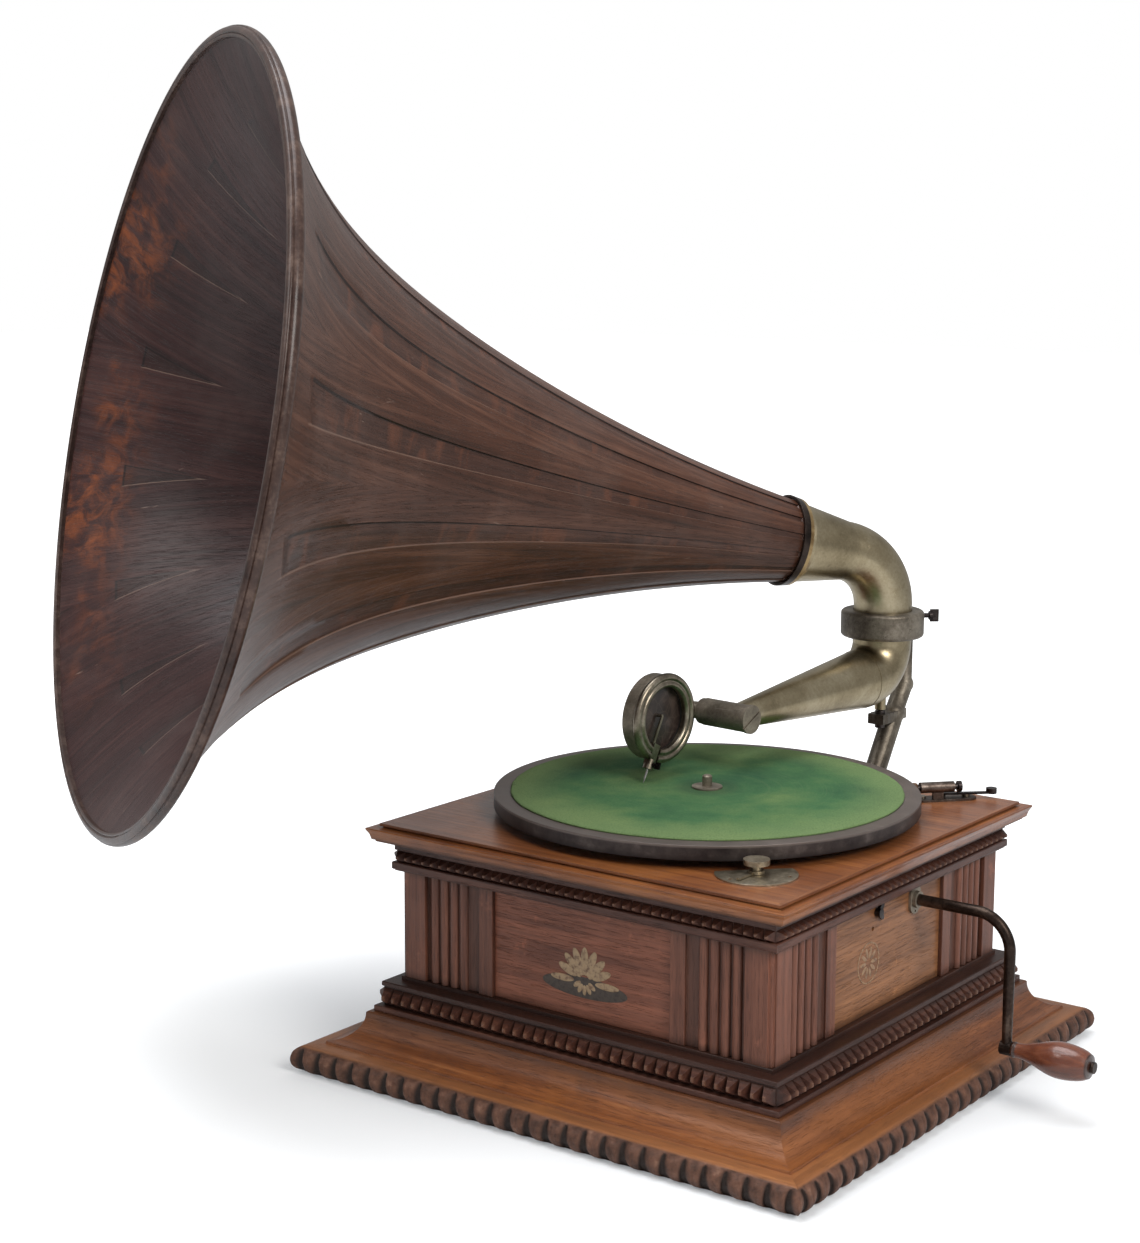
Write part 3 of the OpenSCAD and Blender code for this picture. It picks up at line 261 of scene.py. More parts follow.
def grain(f, along, out, height, stops, pore=0.5):
    """Mahogany seen with its fibres running along: returns its colour and its height."""
    fibres = f.join(along, out, height)
    streak = f.noise(fibres, (7, 230, 230), 5, 0.62)
    broad = f.noise(fibres, (2.6, 19, 19), 3, 0.5, 0.4)
    flame = f.noise(fibres, (26, 9, 9), 2, 0.5, 0.8)
    pores = f.rise(f.noise(fibres, (75, 2100, 2100), 2), 0.54, 0.72)
    colour = f.ramp(streak * 0.55 + broad * 0.3 + flame * 0.15, *stops)
    colour = f.mix(pores * pore, colour, toned(stops[0][1], 0.35))
    return colour, streak * 0.6 - pores * 0.5


def piece_from(name, points, faces, finish, corner_values=None, point_values=None):
    """A mesh object from points and faces, with an optional UV map and numbers for each point."""
    mesh = bpy.data.meshes.new(name)
    mesh.from_pydata(points, [], faces)
    if corner_values:
        uv = mesh.uv_layers.new(name="UVMap")
        uv.data.foreach_set("uv", [v for face in corner_values for corner in face for v in corner])
    for label, values in (point_values or {}).items():
        mesh.attributes.new(label, "FLOAT", "POINT").data.foreach_set("value", values)
    mesh.materials.append(finish.material)
    piece = bpy.data.objects.new(name, mesh)
    scene_objects.link(piece)
    return piece


def face_outwards(piece, sharp=40):
    """Merges what coincides, points every face outwards and smooths all but the sharp edges."""
    work = bmesh.new()
    work.from_mesh(piece.data)
    bmesh.ops.remove_doubles(work, verts=work.verts, dist=1e-6)
    bmesh.ops.recalc_face_normals(work, faces=work.faces)
    work.to_mesh(piece.data)
    work.free()
    piece.data.shade_smooth()
    piece.data.set_sharp_from_angle(angle=math.radians(sharp))


def run_faces(count, wide):
    """Faces of a closed run of count sections with wide points each."""
    return [(i * wide + j, (i + 1) % count * wide + j, (i + 1) % count * wide + (j + 1) % wide,
             i * wide + (j + 1) % wide) for i in range(count) for j in range(wide)]


def run_round(name, outline, shares, finish, carve=None):
    """A mitred frame round the case: outline's points are (reach from the middle, height), and shares are the
    places along one side, from -1 at one mitre to 1 at the next."""
    points, sunk = [], []
    for quarter in range(4):
        spin = Matrix.Rotation(quarter * math.pi / 2, 3, "Z")
        for share in shares[:-1]:
            for reach, height in outline:
                depth, mark = carve(share * reach, reach, height) if carve else (0.0, 0.0)
                out = reach - depth
                points.append(spin @ Vector((share * out, -out, height)))
                sunk.append(mark)
    faces = run_faces(4 * (len(shares) - 1), len(outline))
    piece = piece_from(name, points, faces, finish, point_values={"sunk": sunk})
    face_outwards(piece, 33)
    return piece


def arc(centre, radius, start, end, steps):
    """Points of an arc in an outline, with angles in degrees."""
    angles = [math.radians(start + (end - start) * i / steps) for i in range(steps + 1)]
    return [(centre[0] + radius * math.cos(a), centre[1] + radius * math.sin(a)) for a in angles]


base_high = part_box("base_moulding")[1]
base_out = base_high.x
base_top = base_high.z
edge_r = 0.010
cove_r = 0.020
shelf = 0.018
cove_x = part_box("corner_posts")[1].x + shelf + cove_r
base_in = 0.130
base_outline = [(base_in, 0.0), (base_in, base_top), (cove_x - cove_r - 0.001, base_top)]
base_outline += arc((cove_x, base_top - 0.0008), cove_r, 180, 270, 14)
base_outline += [(cove_x + 0.0004, 2 * edge_r + 0.0004)]
base_outline += arc((base_out - edge_r, edge_r), edge_r, 92, -90, 20)
tongue_count = 27
tongue_pitch = base_out * 2 / tongue_count
tongue_steps = 14
side_steps = tongue_count * tongue_steps
base_shares = [-1 + 2 * i / side_steps for i in range(side_steps + 1)]


def tongues(along, reach, height):
    """Depth of the carving, and how far down in it the point is."""
    if reach < base_out - 0.0085:
        return 0.0, 0.0
    edge = min(1, max(0, (2 * edge_r - 0.0012 - height) / 0.002)) * min(1, height / 0.0015)
    phase = (along / tongue_pitch) % 1.0 - 0.5
    half = 0.495 - 0.20 * (1 - height / (2 * edge_r)) ** 1.4
    side = min(1, abs(phase) / half)
    crown = 1 - side ** 3
    vein = 0.16 * math.exp(-(phase / 0.05) ** 2)
    gap = 1 - crown + vein
    rough = 0.12 * noise.noise(Vector((along * 160, height * 260, reach * 20)))
    return edge * 0.0026 * max(0, gap + rough), edge * min(1, gap)


wood = Finish("base_wood", Coat_Roughness=0.32, Specular_IOR_Level=0.32)
along, out, z = wood.along_sides()
colour, height = grain(wood, along, out, z, [
    (0.30, (0.062, 0.019, 0.007)), (0.47, (0.175, 0.056, 0.018)), (0.60, (0.285, 0.100, 0.033)),
    (0.74, (0.42, 0.175, 0.062))])
glow = wood.rise(wood.noise(wood.place(), (9, 9, 14), 2, 0.5, 0.6), 0.48, 0.68)
colour = wood.mix(glow * 0.40, colour, (0.32, 0.11, 0.024))
shadow = 1 - wood.rise(z, base_top - 0.014, base_top - 0.001) * 0.55
colour = wood.mix(1 - shadow, colour, (0.045, 0.018, 0.010))
band = wood.rise(abs(out), cove_x - 0.001, cove_x + 0.003) * (1 - wood.rise(z, 0.0190, 0.0235))
colour = wood.mix(band * 0.30, colour, (0.42, 0.20, 0.085))
grime = wood.rise(wood.even_noise(22, 5, 0.65), 0.52, 0.72)
colour = wood.mix(grime * 0.35, colour, (0.055, 0.019, 0.009))
sunk = wood.attribute("sunk")
edge = wood.rise(abs(out), base_out - 0.0095, base_out - 0.0078) * wood.rise(0.0196 - z, 0, 0.0012)
stain = wood.even_noise(110, 4, 0.6)
carved = wood.ramp(
    stain, (0.3, (0.050, 0.022, 0.014)), (0.60, (0.150, 0.068, 0.042)), (0.8, (0.30, 0.165, 0.11)))
# Painted shade: the deeper a point lies in the carving's grooves, the darker it is.
carved = wood.mix(wood.rise(sunk, 0.10, 0.85), carved, (0.018, 0.009, 0.006))
colour = wood.mix(edge, colour, carved)
scuff = wood.even_noise(40, 5, 0.65)
roughness = 0.30 + scuff * 0.22 + edge * 0.16
wood.lay(colour, roughness, height + stain * edge, 0.0004, Coat_Weight=0.30 - edge * 0.22)
cove_base = run_round("cove_base", base_outline, base_shares, wood, tongues)
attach(cove_base, "case")
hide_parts("base_moulding")


# Waist and cornice: dark mitred mouldings, each with a sunk band that holds a row of small four-sided
# teeth. The teeth are cut by hand and their points are worn bright.
def grow(name, finish, sizes, build):
    """Runs a Geometry Nodes tree with the given sizes and returns what it makes as a plain mesh object."""
    tree = bpy.data.node_groups.new(name, "GeometryNodeTree")
    tree.interface.new_socket("Geometry", in_out="OUTPUT", socket_type="NodeSocketGeometry")
    for label, value in sizes.items():
        kind = "NodeSocketInt" if isinstance(value, int) else "NodeSocketFloat"
        tree.interface.new_socket(label, in_out="INPUT", socket_type=kind)
    given = tree.nodes.new("NodeGroupInput").outputs

    def add(kind, settings, sockets, out=0):
        made = tree.nodes.new(kind)
        for setting, value in settings.items():
            setattr(made, setting, value)
        for socket, value in sockets.items():
            if isinstance(value, bpy.types.NodeSocket):
                tree.links.new(value, made.inputs[socket])
            elif isinstance(value, list):
                for part in value:
                    tree.links.new(part, made.inputs[socket])
            else:
                made.inputs[socket].default_value = value
        return made.outputs[out]

    whole = add("GeometryNodeRealizeInstances", {}, {"Geometry": build(add, given)})
    coated = add("GeometryNodeSetMaterial", {}, {"Geometry": whole, "Material": finish.material})
    result = tree.nodes.new("NodeGroupOutput")
    tree.links.new(coated, result.inputs["Geometry"])
    piece = piece_from(name, [(0, 0, 0)], [], finish)
    modifier = piece.modifiers.new(name, "NODES")
    modifier.node_group = tree
    for item in tree.interface.items_tree:
        if item.in_out == "INPUT":
            modifier[item.identifier] = sizes[item.name]
    shown = piece.evaluated_get(bpy.context.evaluated_depsgraph_get())
    mesh = bpy.data.meshes.new_from_object(shown)
    piece.modifiers.clear()
    piece.data = mesh
    return piece


def tooth_row(name, finish, reach, tip, height, tall, pitch):
    """Four rows of teeth round the case, from the sunk band at reach out to tip."""
    count = round(2 * reach / pitch)
    pitch = 2 * reach / count

    def build(add, given):
        tooth = add("GeometryNodeMeshCone", {"fill_type": "NGON"}, {
            "Vertices": 4, "Radius Top": 0.13, "Radius Bottom": 0.69, "Depth": given["Depth"]})
        squared = add("GeometryNodeTransform", {}, {"Geometry": tooth, "Rotation": (0, 0, math.pi / 4)})
        scale = add("ShaderNodeCombineXYZ", {}, {0: given["Width"], 1: given["Tall"], 2: 1.0})
        place = add("ShaderNodeCombineXYZ", {}, {0: 0.0, 1: given["Reach"], 2: given["Height"]})
        turned = add("GeometryNodeTransform", {}, {
            "Geometry": squared, "Rotation": (math.pi / 2, 0, 0), "Scale": scale, "Translation": place})
        step = add("ShaderNodeCombineXYZ", {}, {0: given["Pitch"], 1: 0.0, 2: 0.0})
        start = add("ShaderNodeCombineXYZ", {}, {0: given["Start"], 1: 0.0, 2: 0.0})
        line = add("GeometryNodeMeshLine", {}, {
            "Count": given["Count"], "Start Location": start, "Offset": step})
        row = add("GeometryNodeInstanceOnPoints", {}, {"Points": line, "Instance": turned})
        sides = [add("GeometryNodeTransform", {}, {
            "Geometry": row, "Rotation": (0, 0, quarter * math.pi / 2)}) for quarter in range(4)]
        return add("GeometryNodeJoinGeometry", {}, {"Geometry": sides})

    piece = grow(name, finish, {
        "Depth": tip - reach, "Width": pitch * 0.98, "Tall": tall, "Reach": -reach, "Height": height,
        "Pitch": pitch, "Start": pitch * (1 - count) / 2, "Count": count}, build)
    face_outwards(piece, 20)
    piece.data.shade_flat()
    return piece


def dark_moulding(name, tip):
    """Nearly black stained wood, with worn bright points out at tip and painted shade further in."""
    f = Finish(name, Coat_Weight=0.20, Coat_Roughness=0.30, Specular_IOR_Level=0.3)
    along, out, z = f.along_sides()
    colour, height = grain(f, along, out, z, [
        (0.34, (0.024, 0.008, 0.005)), (0.52, (0.074, 0.026, 0.016)), (0.72, (0.165, 0.066, 0.040))])
    wear = f.even_noise(90, 4, 0.65)
    worn = f.rise(abs(out) + wear * 0.0022, tip - 0.0006, tip + 0.0010)
    colour = f.mix(worn * 0.50, colour, (0.22, 0.110, 0.066))
    # Painted shade: darker in the sunk band behind the teeth and further in.
    groove = 1 - f.rise(abs(out), tip - 0.0075, tip - 0.0035)
    colour = f.mix(groove * 0.55, colour, (0.008, 0.004, 0.003))
    f.lay(colour, 0.34 + wear * 0.20, height + wear * 0.6, 0.0003)
    return f


post_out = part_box("corner_posts")[1].x
plain_shares = [-1 + i / 12 for i in range(25)]


def dark_band(name, box, from_top, from_bottom, seat, middle, tall, pitch):
    """A moulding round the case with teeth on its sunk band. Each step of its section is how far it is out
    from the posts and up from the moulding's top or bottom."""
    low, high = box
    outline = [(post_out + from_top[0][0], low.z)]
    outline += [(post_out + out, high.z + up) for out, up in from_top]
    outline += [(post_out + out, low.z + up) for out, up in from_bottom]
    wood = dark_moulding(name + "_wood", high.x)
    moulding = run_round(name + "_frame", outline, plain_shares, wood)
    return moulding, tooth_row(name + "_teeth", wood, post_out + seat, high.x, low.z + middle, tall, pitch)


waist, waist_teeth = dark_band("waist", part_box("waist_moulding"), [
    (-0.0133, 0), (-0.0003, 0), (0, -0.0004), (0, -0.0029), (0.0095, -0.0031), (0.0100, -0.0036),
    (0.0100, -0.0062), (0.0088, -0.0070)], [
    (0.0088, 0.0050), (0.0136, 0.0043), (0.0140, 0.0038), (0.0140, 0.0004), (0.0136, 0)],
    seat=0.0086, middle=0.0112, tall=0.0128, pitch=0.0092)
for piece in (waist, waist_teeth):
    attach(piece, "case")
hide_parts("waist_moulding")
cornice, cornice_teeth = dark_band("cornice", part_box("cornice_moulding"), [(-0.0135, 0), (0.0030, 0)], [
    (0.0030, 0.0150), (0.0018, 0.0143), (0.0018, 0.0068), (0.0040, 0.0064), (0.0045, 0.0058),
    (0.0045, 0.0016), (0.0040, 0.0010), (0.0029, 0.0008), (0.0029, 0)],
    seat=0.0016, middle=0.0105, tall=0.0078, pitch=0.0078)
for piece in (cornice, cornice_teeth):
    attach(piece, "case")
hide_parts("cornice_moulding")


# Panels and corner posts: flat mahogany boards set back between square posts. The posts are reeded from top
# to bottom; the reeds and the panels' edges are darkened with dirt and painted shade, and the wood is painted
# darker as shade next to the waist and the cornice.
def worked(node, body, slot, finish, bevel=0.0, sharp=34, shape=None):
    """The node's own shape with its facets merged and its sharp edges eased."""
    work = bmesh.new()
    work.from_mesh(nodes[node].data)
    for vertex in work.verts if shape else ():
        shape(vertex.co)
    bmesh.ops.remove_doubles(work, verts=work.verts, dist=2e-6)
    bmesh.ops.dissolve_limit(work, angle_limit=math.radians(0.6), verts=work.verts, edges=work.edges)
    mesh = bpy.data.meshes.new(node + "_worked")
    work.to_mesh(mesh)
    work.free()
    if "custom_normal" in mesh.attributes:
        mesh.attributes.remove(mesh.attributes["custom_normal"])
    mesh.materials.clear()
    mesh.materials.append(finish.material)
    for face in mesh.polygons:
        face.material_index = 0
    piece = bpy.data.objects.new(node + "_worked", mesh)
    scene_objects.link(piece)
    mesh.shade_smooth()
    mesh.set_sharp_from_angle(angle=math.radians(sharp))
    if bevel:
        eased = piece.modifiers.new("eased_edges", "BEVEL")
        eased.width = bevel
        eased.segments = 2
        eased.limit_method = "ANGLE"
        eased.angle_limit = math.radians(sharp)
        eased.harden_normals = True
    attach(piece, body)
    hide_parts(node)
    return piece


def case_wood(name, light, dark, upright, dirt_and_shade_at):
    """Mahogany of the case, darkened in its recesses with dirt and painted shade up to the given distance
    from the middle.
    """
    f = Finish(name, Coat_Weight=0.16, Coat_Roughness=0.34, Specular_IOR_Level=0.3)
    along, out, z = f.along_sides()
    mid = tuple(0.5 * (a + b) for a, b in zip(light, dark))
    stops = [(0.30, dark), (0.50, mid), (0.72, light)]
    colour, height = grain(f, z, along, out, stops) if upright else grain(f, along, out, z, stops)
    scuff = f.even_noise(30, 5, 0.65)
    colour = f.mix(f.rise(scuff, 0.60, 0.74) * 0.35, colour, toned(light, 1.9))
    # Dirt and painted shade: darker in the reeds and along the panels' sunk edges.
    recess_dirt_and_shade = 1 - f.rise(abs(out), dirt_and_shade_at - 0.0034, dirt_and_shade_at - 0.0016)
    colour = f.mix(recess_dirt_and_shade * 0.48, colour, (0.018, 0.008, 0.005))
    # Painted shade: darker at the bottom and top, next to the waist and under the cornice.
    low = 1 - f.rise(z, 0.068, 0.074)
    high = f.rise(z, 0.139, 0.146)
    colour = f.mix((low + high) * 0.45, colour, (0.016, 0.008, 0.005))
    f.lay(colour, 0.32 + scuff * 0.24, height + scuff * 0.3, 0.0003)
    return f


panel_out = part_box("right_panel")[1].x
dirt_and_shade_end = panel_out - 0.004
front_wood = case_wood("front_panel_wood", (0.38, 0.135, 0.076), (0.070, 0.021, 0.012), False, dirt_and_shade_end)
# Painted light: the crank-side panel faces the key light and gets a lighter, more orange copy of the panel
# wood.
lit_side_wood = case_wood("lit_side_panel_wood", (0.40, 0.175, 0.072), (0.090, 0.032, 0.012), False, dirt_and_shade_end)
post_wood = case_wood("post_wood", (0.27, 0.102, 0.060), (0.055, 0.018, 0.011), True, post_out)
for node in ("front_panel", "rear_panel", "left_panel"):
    worked(node, "case", "panel_wood", front_wood, 0.0004)
worked("right_panel", "case", "panel_wood", lit_side_wood, 0.0004)
worked("corner_posts", "case", "post_wood", post_wood, 0.0005)

# Bottom board: a plain pale board, left unpolished, that closes the case from below.
bottom_wood = Finish("bottom_wood", Coat_Weight=0.0)
x, y, z = bottom_wood.split(bottom_wood.place())
colour, height = grain(bottom_wood, x, y, z, [
    (0.3, (0.14, 0.08, 0.045)), (0.5, (0.26, 0.16, 0.09)), (0.72, (0.40, 0.27, 0.16))])
bottom_wood.lay(colour, height * 0.1 + 0.62, height, 0.0004)
worked("bottom_board", "case", "bottom_wood", bottom_wood, 0.0005)


# Top board: a wide orange-brown mahogany board, its face raised a little and its edge moulded to a thin lip
# over a hollow.
wood = Finish("top_board_wood", Coat_Roughness=0.26, Specular_IOR_Level=0.35)
x, y, z = wood.split(wood.place())
reach = wood.math("MAXIMUM", abs(x), abs(y))
top_low, top_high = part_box("top_board")
frame_part = wood.rise(reach, top_high.x - 0.0104, top_high.x - 0.0096)
along, out, z = wood.along_sides(frame_part)
colour, height = grain(wood, along, out, z, [
    (0.28, (0.072, 0.020, 0.006)), (0.46, (0.185, 0.056, 0.016)), (0.60, (0.31, 0.108, 0.032)),
    (0.76, (0.54, 0.24, 0.088))])
glow = wood.rise(wood.even_noise(8, 2, 0.5, 0.5), 0.45, 0.66)
colour = wood.mix(glow * 0.35, colour, (0.40, 0.145, 0.034))
seam = wood.rise(reach, top_high.x - 0.0078, top_high.x - 0.0070) * (
    1 - wood.rise(reach, top_high.x - 0.0064, top_high.x - 0.0056))
colour = wood.mix(seam * 0.3, colour, (0.03, 0.012, 0.006))
# Painted shade: the hollow under the lip is darker and has less coat.
hollow_shade = 1 - wood.rise(z, top_high.z - 0.0120, top_high.z - 0.0090)
colour = wood.mix(hollow_shade * 0.6, colour, (0.025, 0.010, 0.006))
scuff = wood.even_noise(34, 5, 0.65)
wood.lay(colour, 0.24 + scuff * 0.24, height + scuff * 0.3, 0.0003, Coat_Weight=0.55 - hollow_shade * 0.4)


def moulded_edge(point):
    """Turns the board's round edge into a thin lip over a hollow; only its mitred corners have points."""
    reach = abs(point.x)
    centre = top_high.x - 0.005
    middle = top_low.z + 0.0055
    rise = point.z - middle
    if abs(reach - abs(point.y)) > 0.0002 or reach < centre - 0.0001 or abs(rise) > 0.0051:
        return
    turn = math.degrees(math.atan2(rise, reach - centre))
    outward = [(-90, 0.0, 0.0), (-60, 0.0018, -0.0036), (-25, 0.0024, -0.0014), (10, 0.0031, 0.0010),
               (45, 0.0044, 0.0030), (70, 0.0050, 0.0042), (90, 0.0047, 0.0050)]
    for (a, reach_a, rise_a), (b, reach_b, rise_b) in zip(outward, outward[1:]):
        if a <= turn <= b + 0.01:
            share = (turn - a) / (b - a)
            grown = (centre + reach_a + (reach_b - reach_a) * share) / reach
            point.x *= grown
            point.y *= grown
            if turn > -89:
                point.z = middle + rise_a + (rise_b - rise_a) * share
            return


worked("top_board", "case", "board_wood", wood, 0.0003, shape=moulded_edge)


# Ornaments: a painted fan of leaves stands on the front panel, and a small wreath sits on the crank side.
# Both are thin transfers, rubbed with age; the shapes are plain leaves.
def leaf_fan(add, given, count, first, sweep):
    """Leaves set along an arc, each pointing away from its middle."""
    leaf = add("GeometryNodeMeshUVSphere", {}, {"Segments": 20, "Rings": 12, "Radius": 0.5})
    size = add("ShaderNodeCombineXYZ", {}, {
        0: given["Leaf length"], 1: given["Leaf width"], 2: given["Relief"]})
    leaf = add("GeometryNodeTransform", {}, {"Geometry": leaf, "Scale": size})
    path = add("GeometryNodeCurveArc", {"mode": "RADIUS"}, {
        "Resolution": count, "Radius": given["Arc radius"], "Start Angle": math.radians(first),
        "Sweep Angle": math.radians(sweep)})
    points = add("GeometryNodeCurveToPoints", {"mode": "EVALUATED"}, {"Curve": path})
    where = add("GeometryNodeInputPosition", {}, {})
    aim = add("FunctionNodeAlignEulerToVector", {"axis": "X", "pivot_axis": "Z"}, {"Vector": where})
    return add("GeometryNodeInstanceOnPoints", {}, {"Points": points, "Instance": leaf, "Rotation": aim})


def flat_oval(add, given):
    """The thin bed behind the leaves."""
    ball = add("GeometryNodeMeshUVSphere", {}, {"Segments": 64, "Rings": 16, "Radius": given["Radius"]})
    size = add("ShaderNodeCombineXYZ", {}, {0: given["Wide"], 1: given["Tall"], 2: given["Relief"]})
    return add("GeometryNodeTransform", {}, {"Geometry": ball, "Scale": size})


def transfer(name, cream, dark):
    f = Finish(name)
    rub = f.even_noise(260, 4, 0.62)
    colour = f.ramp(rub, (0.36, dark), (0.50, cream), (0.75, toned(cream, 1.25)))
    f.lay(colour, rub * 0.3 + 0.35, rub, 0.0002)
    return f


def place_ornament(piece, quarter, centre, out, height):
    """Stands a flat ornament up against a panel face."""
    stand = Matrix.Rotation(quarter, 4, "Z") @ Matrix.Translation((centre, -out, height)) @ Matrix.Rotation(
        math.pi / 2, 4, "X")
    piece.data.transform(stand)
    face_outwards(piece, 60)
    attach(piece, "case")


panel_low, panel_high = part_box("front_panel")
ornament_height = 0.5 * (panel_low.z + panel_high.z) - 0.003
ground = transfer("ornament_ground", (0.055, 0.040, 0.030), (0.030, 0.018, 0.013))
plate = grow("ornament_ground", ground, {
    "Radius": 0.5, "Wide": 0.072, "Tall": 0.015, "Relief": 0.0006}, flat_oval)
place_ornament(plate, 0, 0.003, panel_out - 0.00005, ornament_height - 0.014)
cream = transfer("ornament_leaves", (0.34, 0.235, 0.135), (0.15, 0.080, 0.045))
for label, count, first, sweep, arc_radius, length, width, lift in (
        ("upper_leaves", 7, 22, 136, 0.0150, 0.0165, 0.0062, -0.009),
        ("inner_leaves", 6, 35, 110, 0.0080, 0.0085, 0.0040, -0.009),
        ("side_leaves", 2, 0, 180, 0.0185, 0.0200, 0.0050, -0.010),
        ("lower_leaves", 5, 215, 110, 0.0075, 0.0075, 0.0038, -0.008)):
    piece = grow(label, cream, {
        "Leaf length": length, "Leaf width": width, "Relief": 0.0008, "Arc radius": arc_radius},
        lambda add, given: leaf_fan(add, given, count, first, sweep))
    place_ornament(piece, 0, 0.003, panel_out + 0.0001, ornament_height + lift)

faint = transfer("wreath_leaves", (0.30, 0.185, 0.105), (0.16, 0.085, 0.048))
for label, count, arc_radius, length, width in (
        ("wreath_ring", 28, 0.0140, 0.0016, 0.0034), ("wreath_flower", 10, 0.0072, 0.0080, 0.0030)):
    piece = grow(label, faint, {
        "Leaf length": length, "Leaf width": width, "Relief": 0.0006, "Arc radius": arc_radius},
        lambda add, given: leaf_fan(add, given, count, 0, 360 - 360 / count))
    place_ornament(piece, math.pi / 2, -0.026, panel_out + 0.00005, ornament_height)


# Turntable: a pressed steel platter with a turned-down wall, painted dark and worn bright along its lip.
paint = Finish("platter_paint", Metallic=0.55)
x, y, z = paint.split(paint.place())
radius = (x * x + y * y) ** 0.5
platter_low, platter_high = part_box("platter")
patch = paint.even_noise(60, 5, 0.6)
brushed = paint.noise(paint.join(radius * 9, z * 9, patch * 0.2), (90, 260, 4), 3)
colour = paint.ramp(
    patch, (0.32, (0.020, 0.014, 0.014)), (0.55, (0.055, 0.043, 0.040)), (0.8, (0.15, 0.125, 0.115)))
lip = paint.rise(z, platter_high.z - 0.0022, platter_high.z - 0.0008)
colour = paint.mix(lip * 0.55, colour, (0.235, 0.195, 0.175))
# Painted shade: darker along the bottom of the turned-down wall.
low = 1 - paint.rise(z, platter_low.z, platter_low.z + 0.0045)
colour = paint.mix(low * 0.7, colour, (0.010, 0.008, 0.009))
paint.lay(colour, 0.36 + patch * 0.25, patch + brushed * 0.5, 0.0002)
worked("platter", "turntable", "platter_metal", paint, 0.0005)


# Felt mat: a disc of green felt laid on the platter, its edge cut by hand and a little wavy, faded yellow
# at the rim and blue-green nearer the pin.
felt_low, felt_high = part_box("felt_mat")
felt_radius = felt_high.x
hole = 0.0046
rings = [hole, 0.012, 0.025, 0.04, 0.055, 0.07, 0.085, 0.10, 0.112, 0.122, 0.130, 0.136, 0.1395]
sectors = 240


def felt_edge(turn):
    wave = noise.noise(Vector((2.2 * math.cos(turn), 2.2 * math.sin(turn), 4.1)))
    ripple = noise.noise(Vector((14 * math.cos(turn), 14 * math.sin(turn), 1.7)))
    return felt_radius - 0.0010 + 0.0007 * wave + 0.0003 * ripple


points = []
for sector in range(sectors):
    turn = 2 * math.pi * sector / sectors
    edge = felt_edge(turn)
    section = [(radius, felt_high.z - 0.00012 * (1 - noise.noise(Vector((radius * 70 * math.cos(turn),
                radius * 70 * math.sin(turn), 0))))) for radius in rings]
    section += [(edge - 0.0008, felt_high.z - 0.0002), (edge - 0.0001, felt_high.z - 0.0007),
                (edge, felt_low.z + 0.0006),
                (edge - 0.0004, felt_low.z + 0.00002), (hole, felt_low.z + 0.00002)]
    points += [(radius * math.cos(turn), radius * math.sin(turn), z) for radius, z in section]
faces = run_faces(sectors, len(section))
felt = Finish("green_felt", Specular_IOR_Level=0.15)
x, y, z = felt.split(felt.place())
radius = (x * x + y * y) ** 0.5
blotch = felt.even_noise(11, 4, 0.6)
nap = felt.even_noise(900, 3, 0.7)
colour = felt.ramp(
    blotch, (0.34, (0.030, 0.095, 0.050)), (0.50, (0.062, 0.158, 0.066)), (0.66, (0.135, 0.225, 0.085)))
tracks = felt.noise(felt.join(radius, blotch * 0.004, 0.0), (420, 60, 1), 3, 0.6)
colour = felt.mix(felt.rise(tracks, 0.48, 0.70) * 0.22, colour, (0.150, 0.215, 0.105))
fibres = felt.rise(felt.noise(felt.place(), (240, 1300, 600), 2, 0.5, 1.5), 0.66, 0.74)
colour = felt.mix(fibres * 0.4, colour, (0.20, 0.26, 0.16))
yellow = felt.rise(radius + blotch * 0.03, 0.105, 0.150)
colour = felt.mix(yellow * 0.75, colour, (0.190, 0.270, 0.110))
worn = 1 - felt.rise(radius, 0.014, 0.030)
colour = felt.mix(worn * 0.5, colour, (0.035, 0.065, 0.040))
colour = felt.mix(felt.rise(nap, 0.40, 0.75) * 0.45, colour, (0.022, 0.060, 0.026))
felt.lay(colour, nap * 0.1 + 0.88, nap, 0.0006)
mat = piece_from("green_mat", points, faces, felt)
face_outwards(mat, 50)
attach(mat, "turntable")
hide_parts("felt_mat")


# Metal fittings: the nickel of the arm is worn to a greenish brown, the small steel parts are blued, and
# the bracket is dull cast metal. Each is cast, turned or pressed, and fixed with screws.
def metal(name, dark, mid, light, rough, patch_size=34.0, shiny=1.0, stain=0.5, scratch=0.4):
    """Aged plated metal: clouds of dark tarnish over a brighter ground, with fine scratches."""
    f = Finish(name, Metallic=shiny)
    cloud = f.even_noise(patch_size, 5, 0.62, 0.3)
    fine = f.even_noise(400, 3, 0.7)
    scratches = f.rise(f.noise(f.place(), (45, 700, 520), 2, 0.5, 0.8), 0.62, 0.74)
    colour = f.ramp(cloud * 0.75 + fine * 0.25, (0.34, dark), (0.50, mid), (0.66, light))
    colour = f.mix(scratches * scratch * 0.5, colour, toned(light, 1.3))
    pits = f.rise(f.even_noise(150, 4, 0.7), 0.60, 0.74)
    colour = f.mix(pits * stain, colour, toned(dark, 0.3))
    height = cloud * 0.3 + fine * 0.3 - pits * 0.3 + scratches * 0.15
    f.lay(colour, rough + cloud * 0.14 + pits * 0.2, height, 0.00012)
    return f


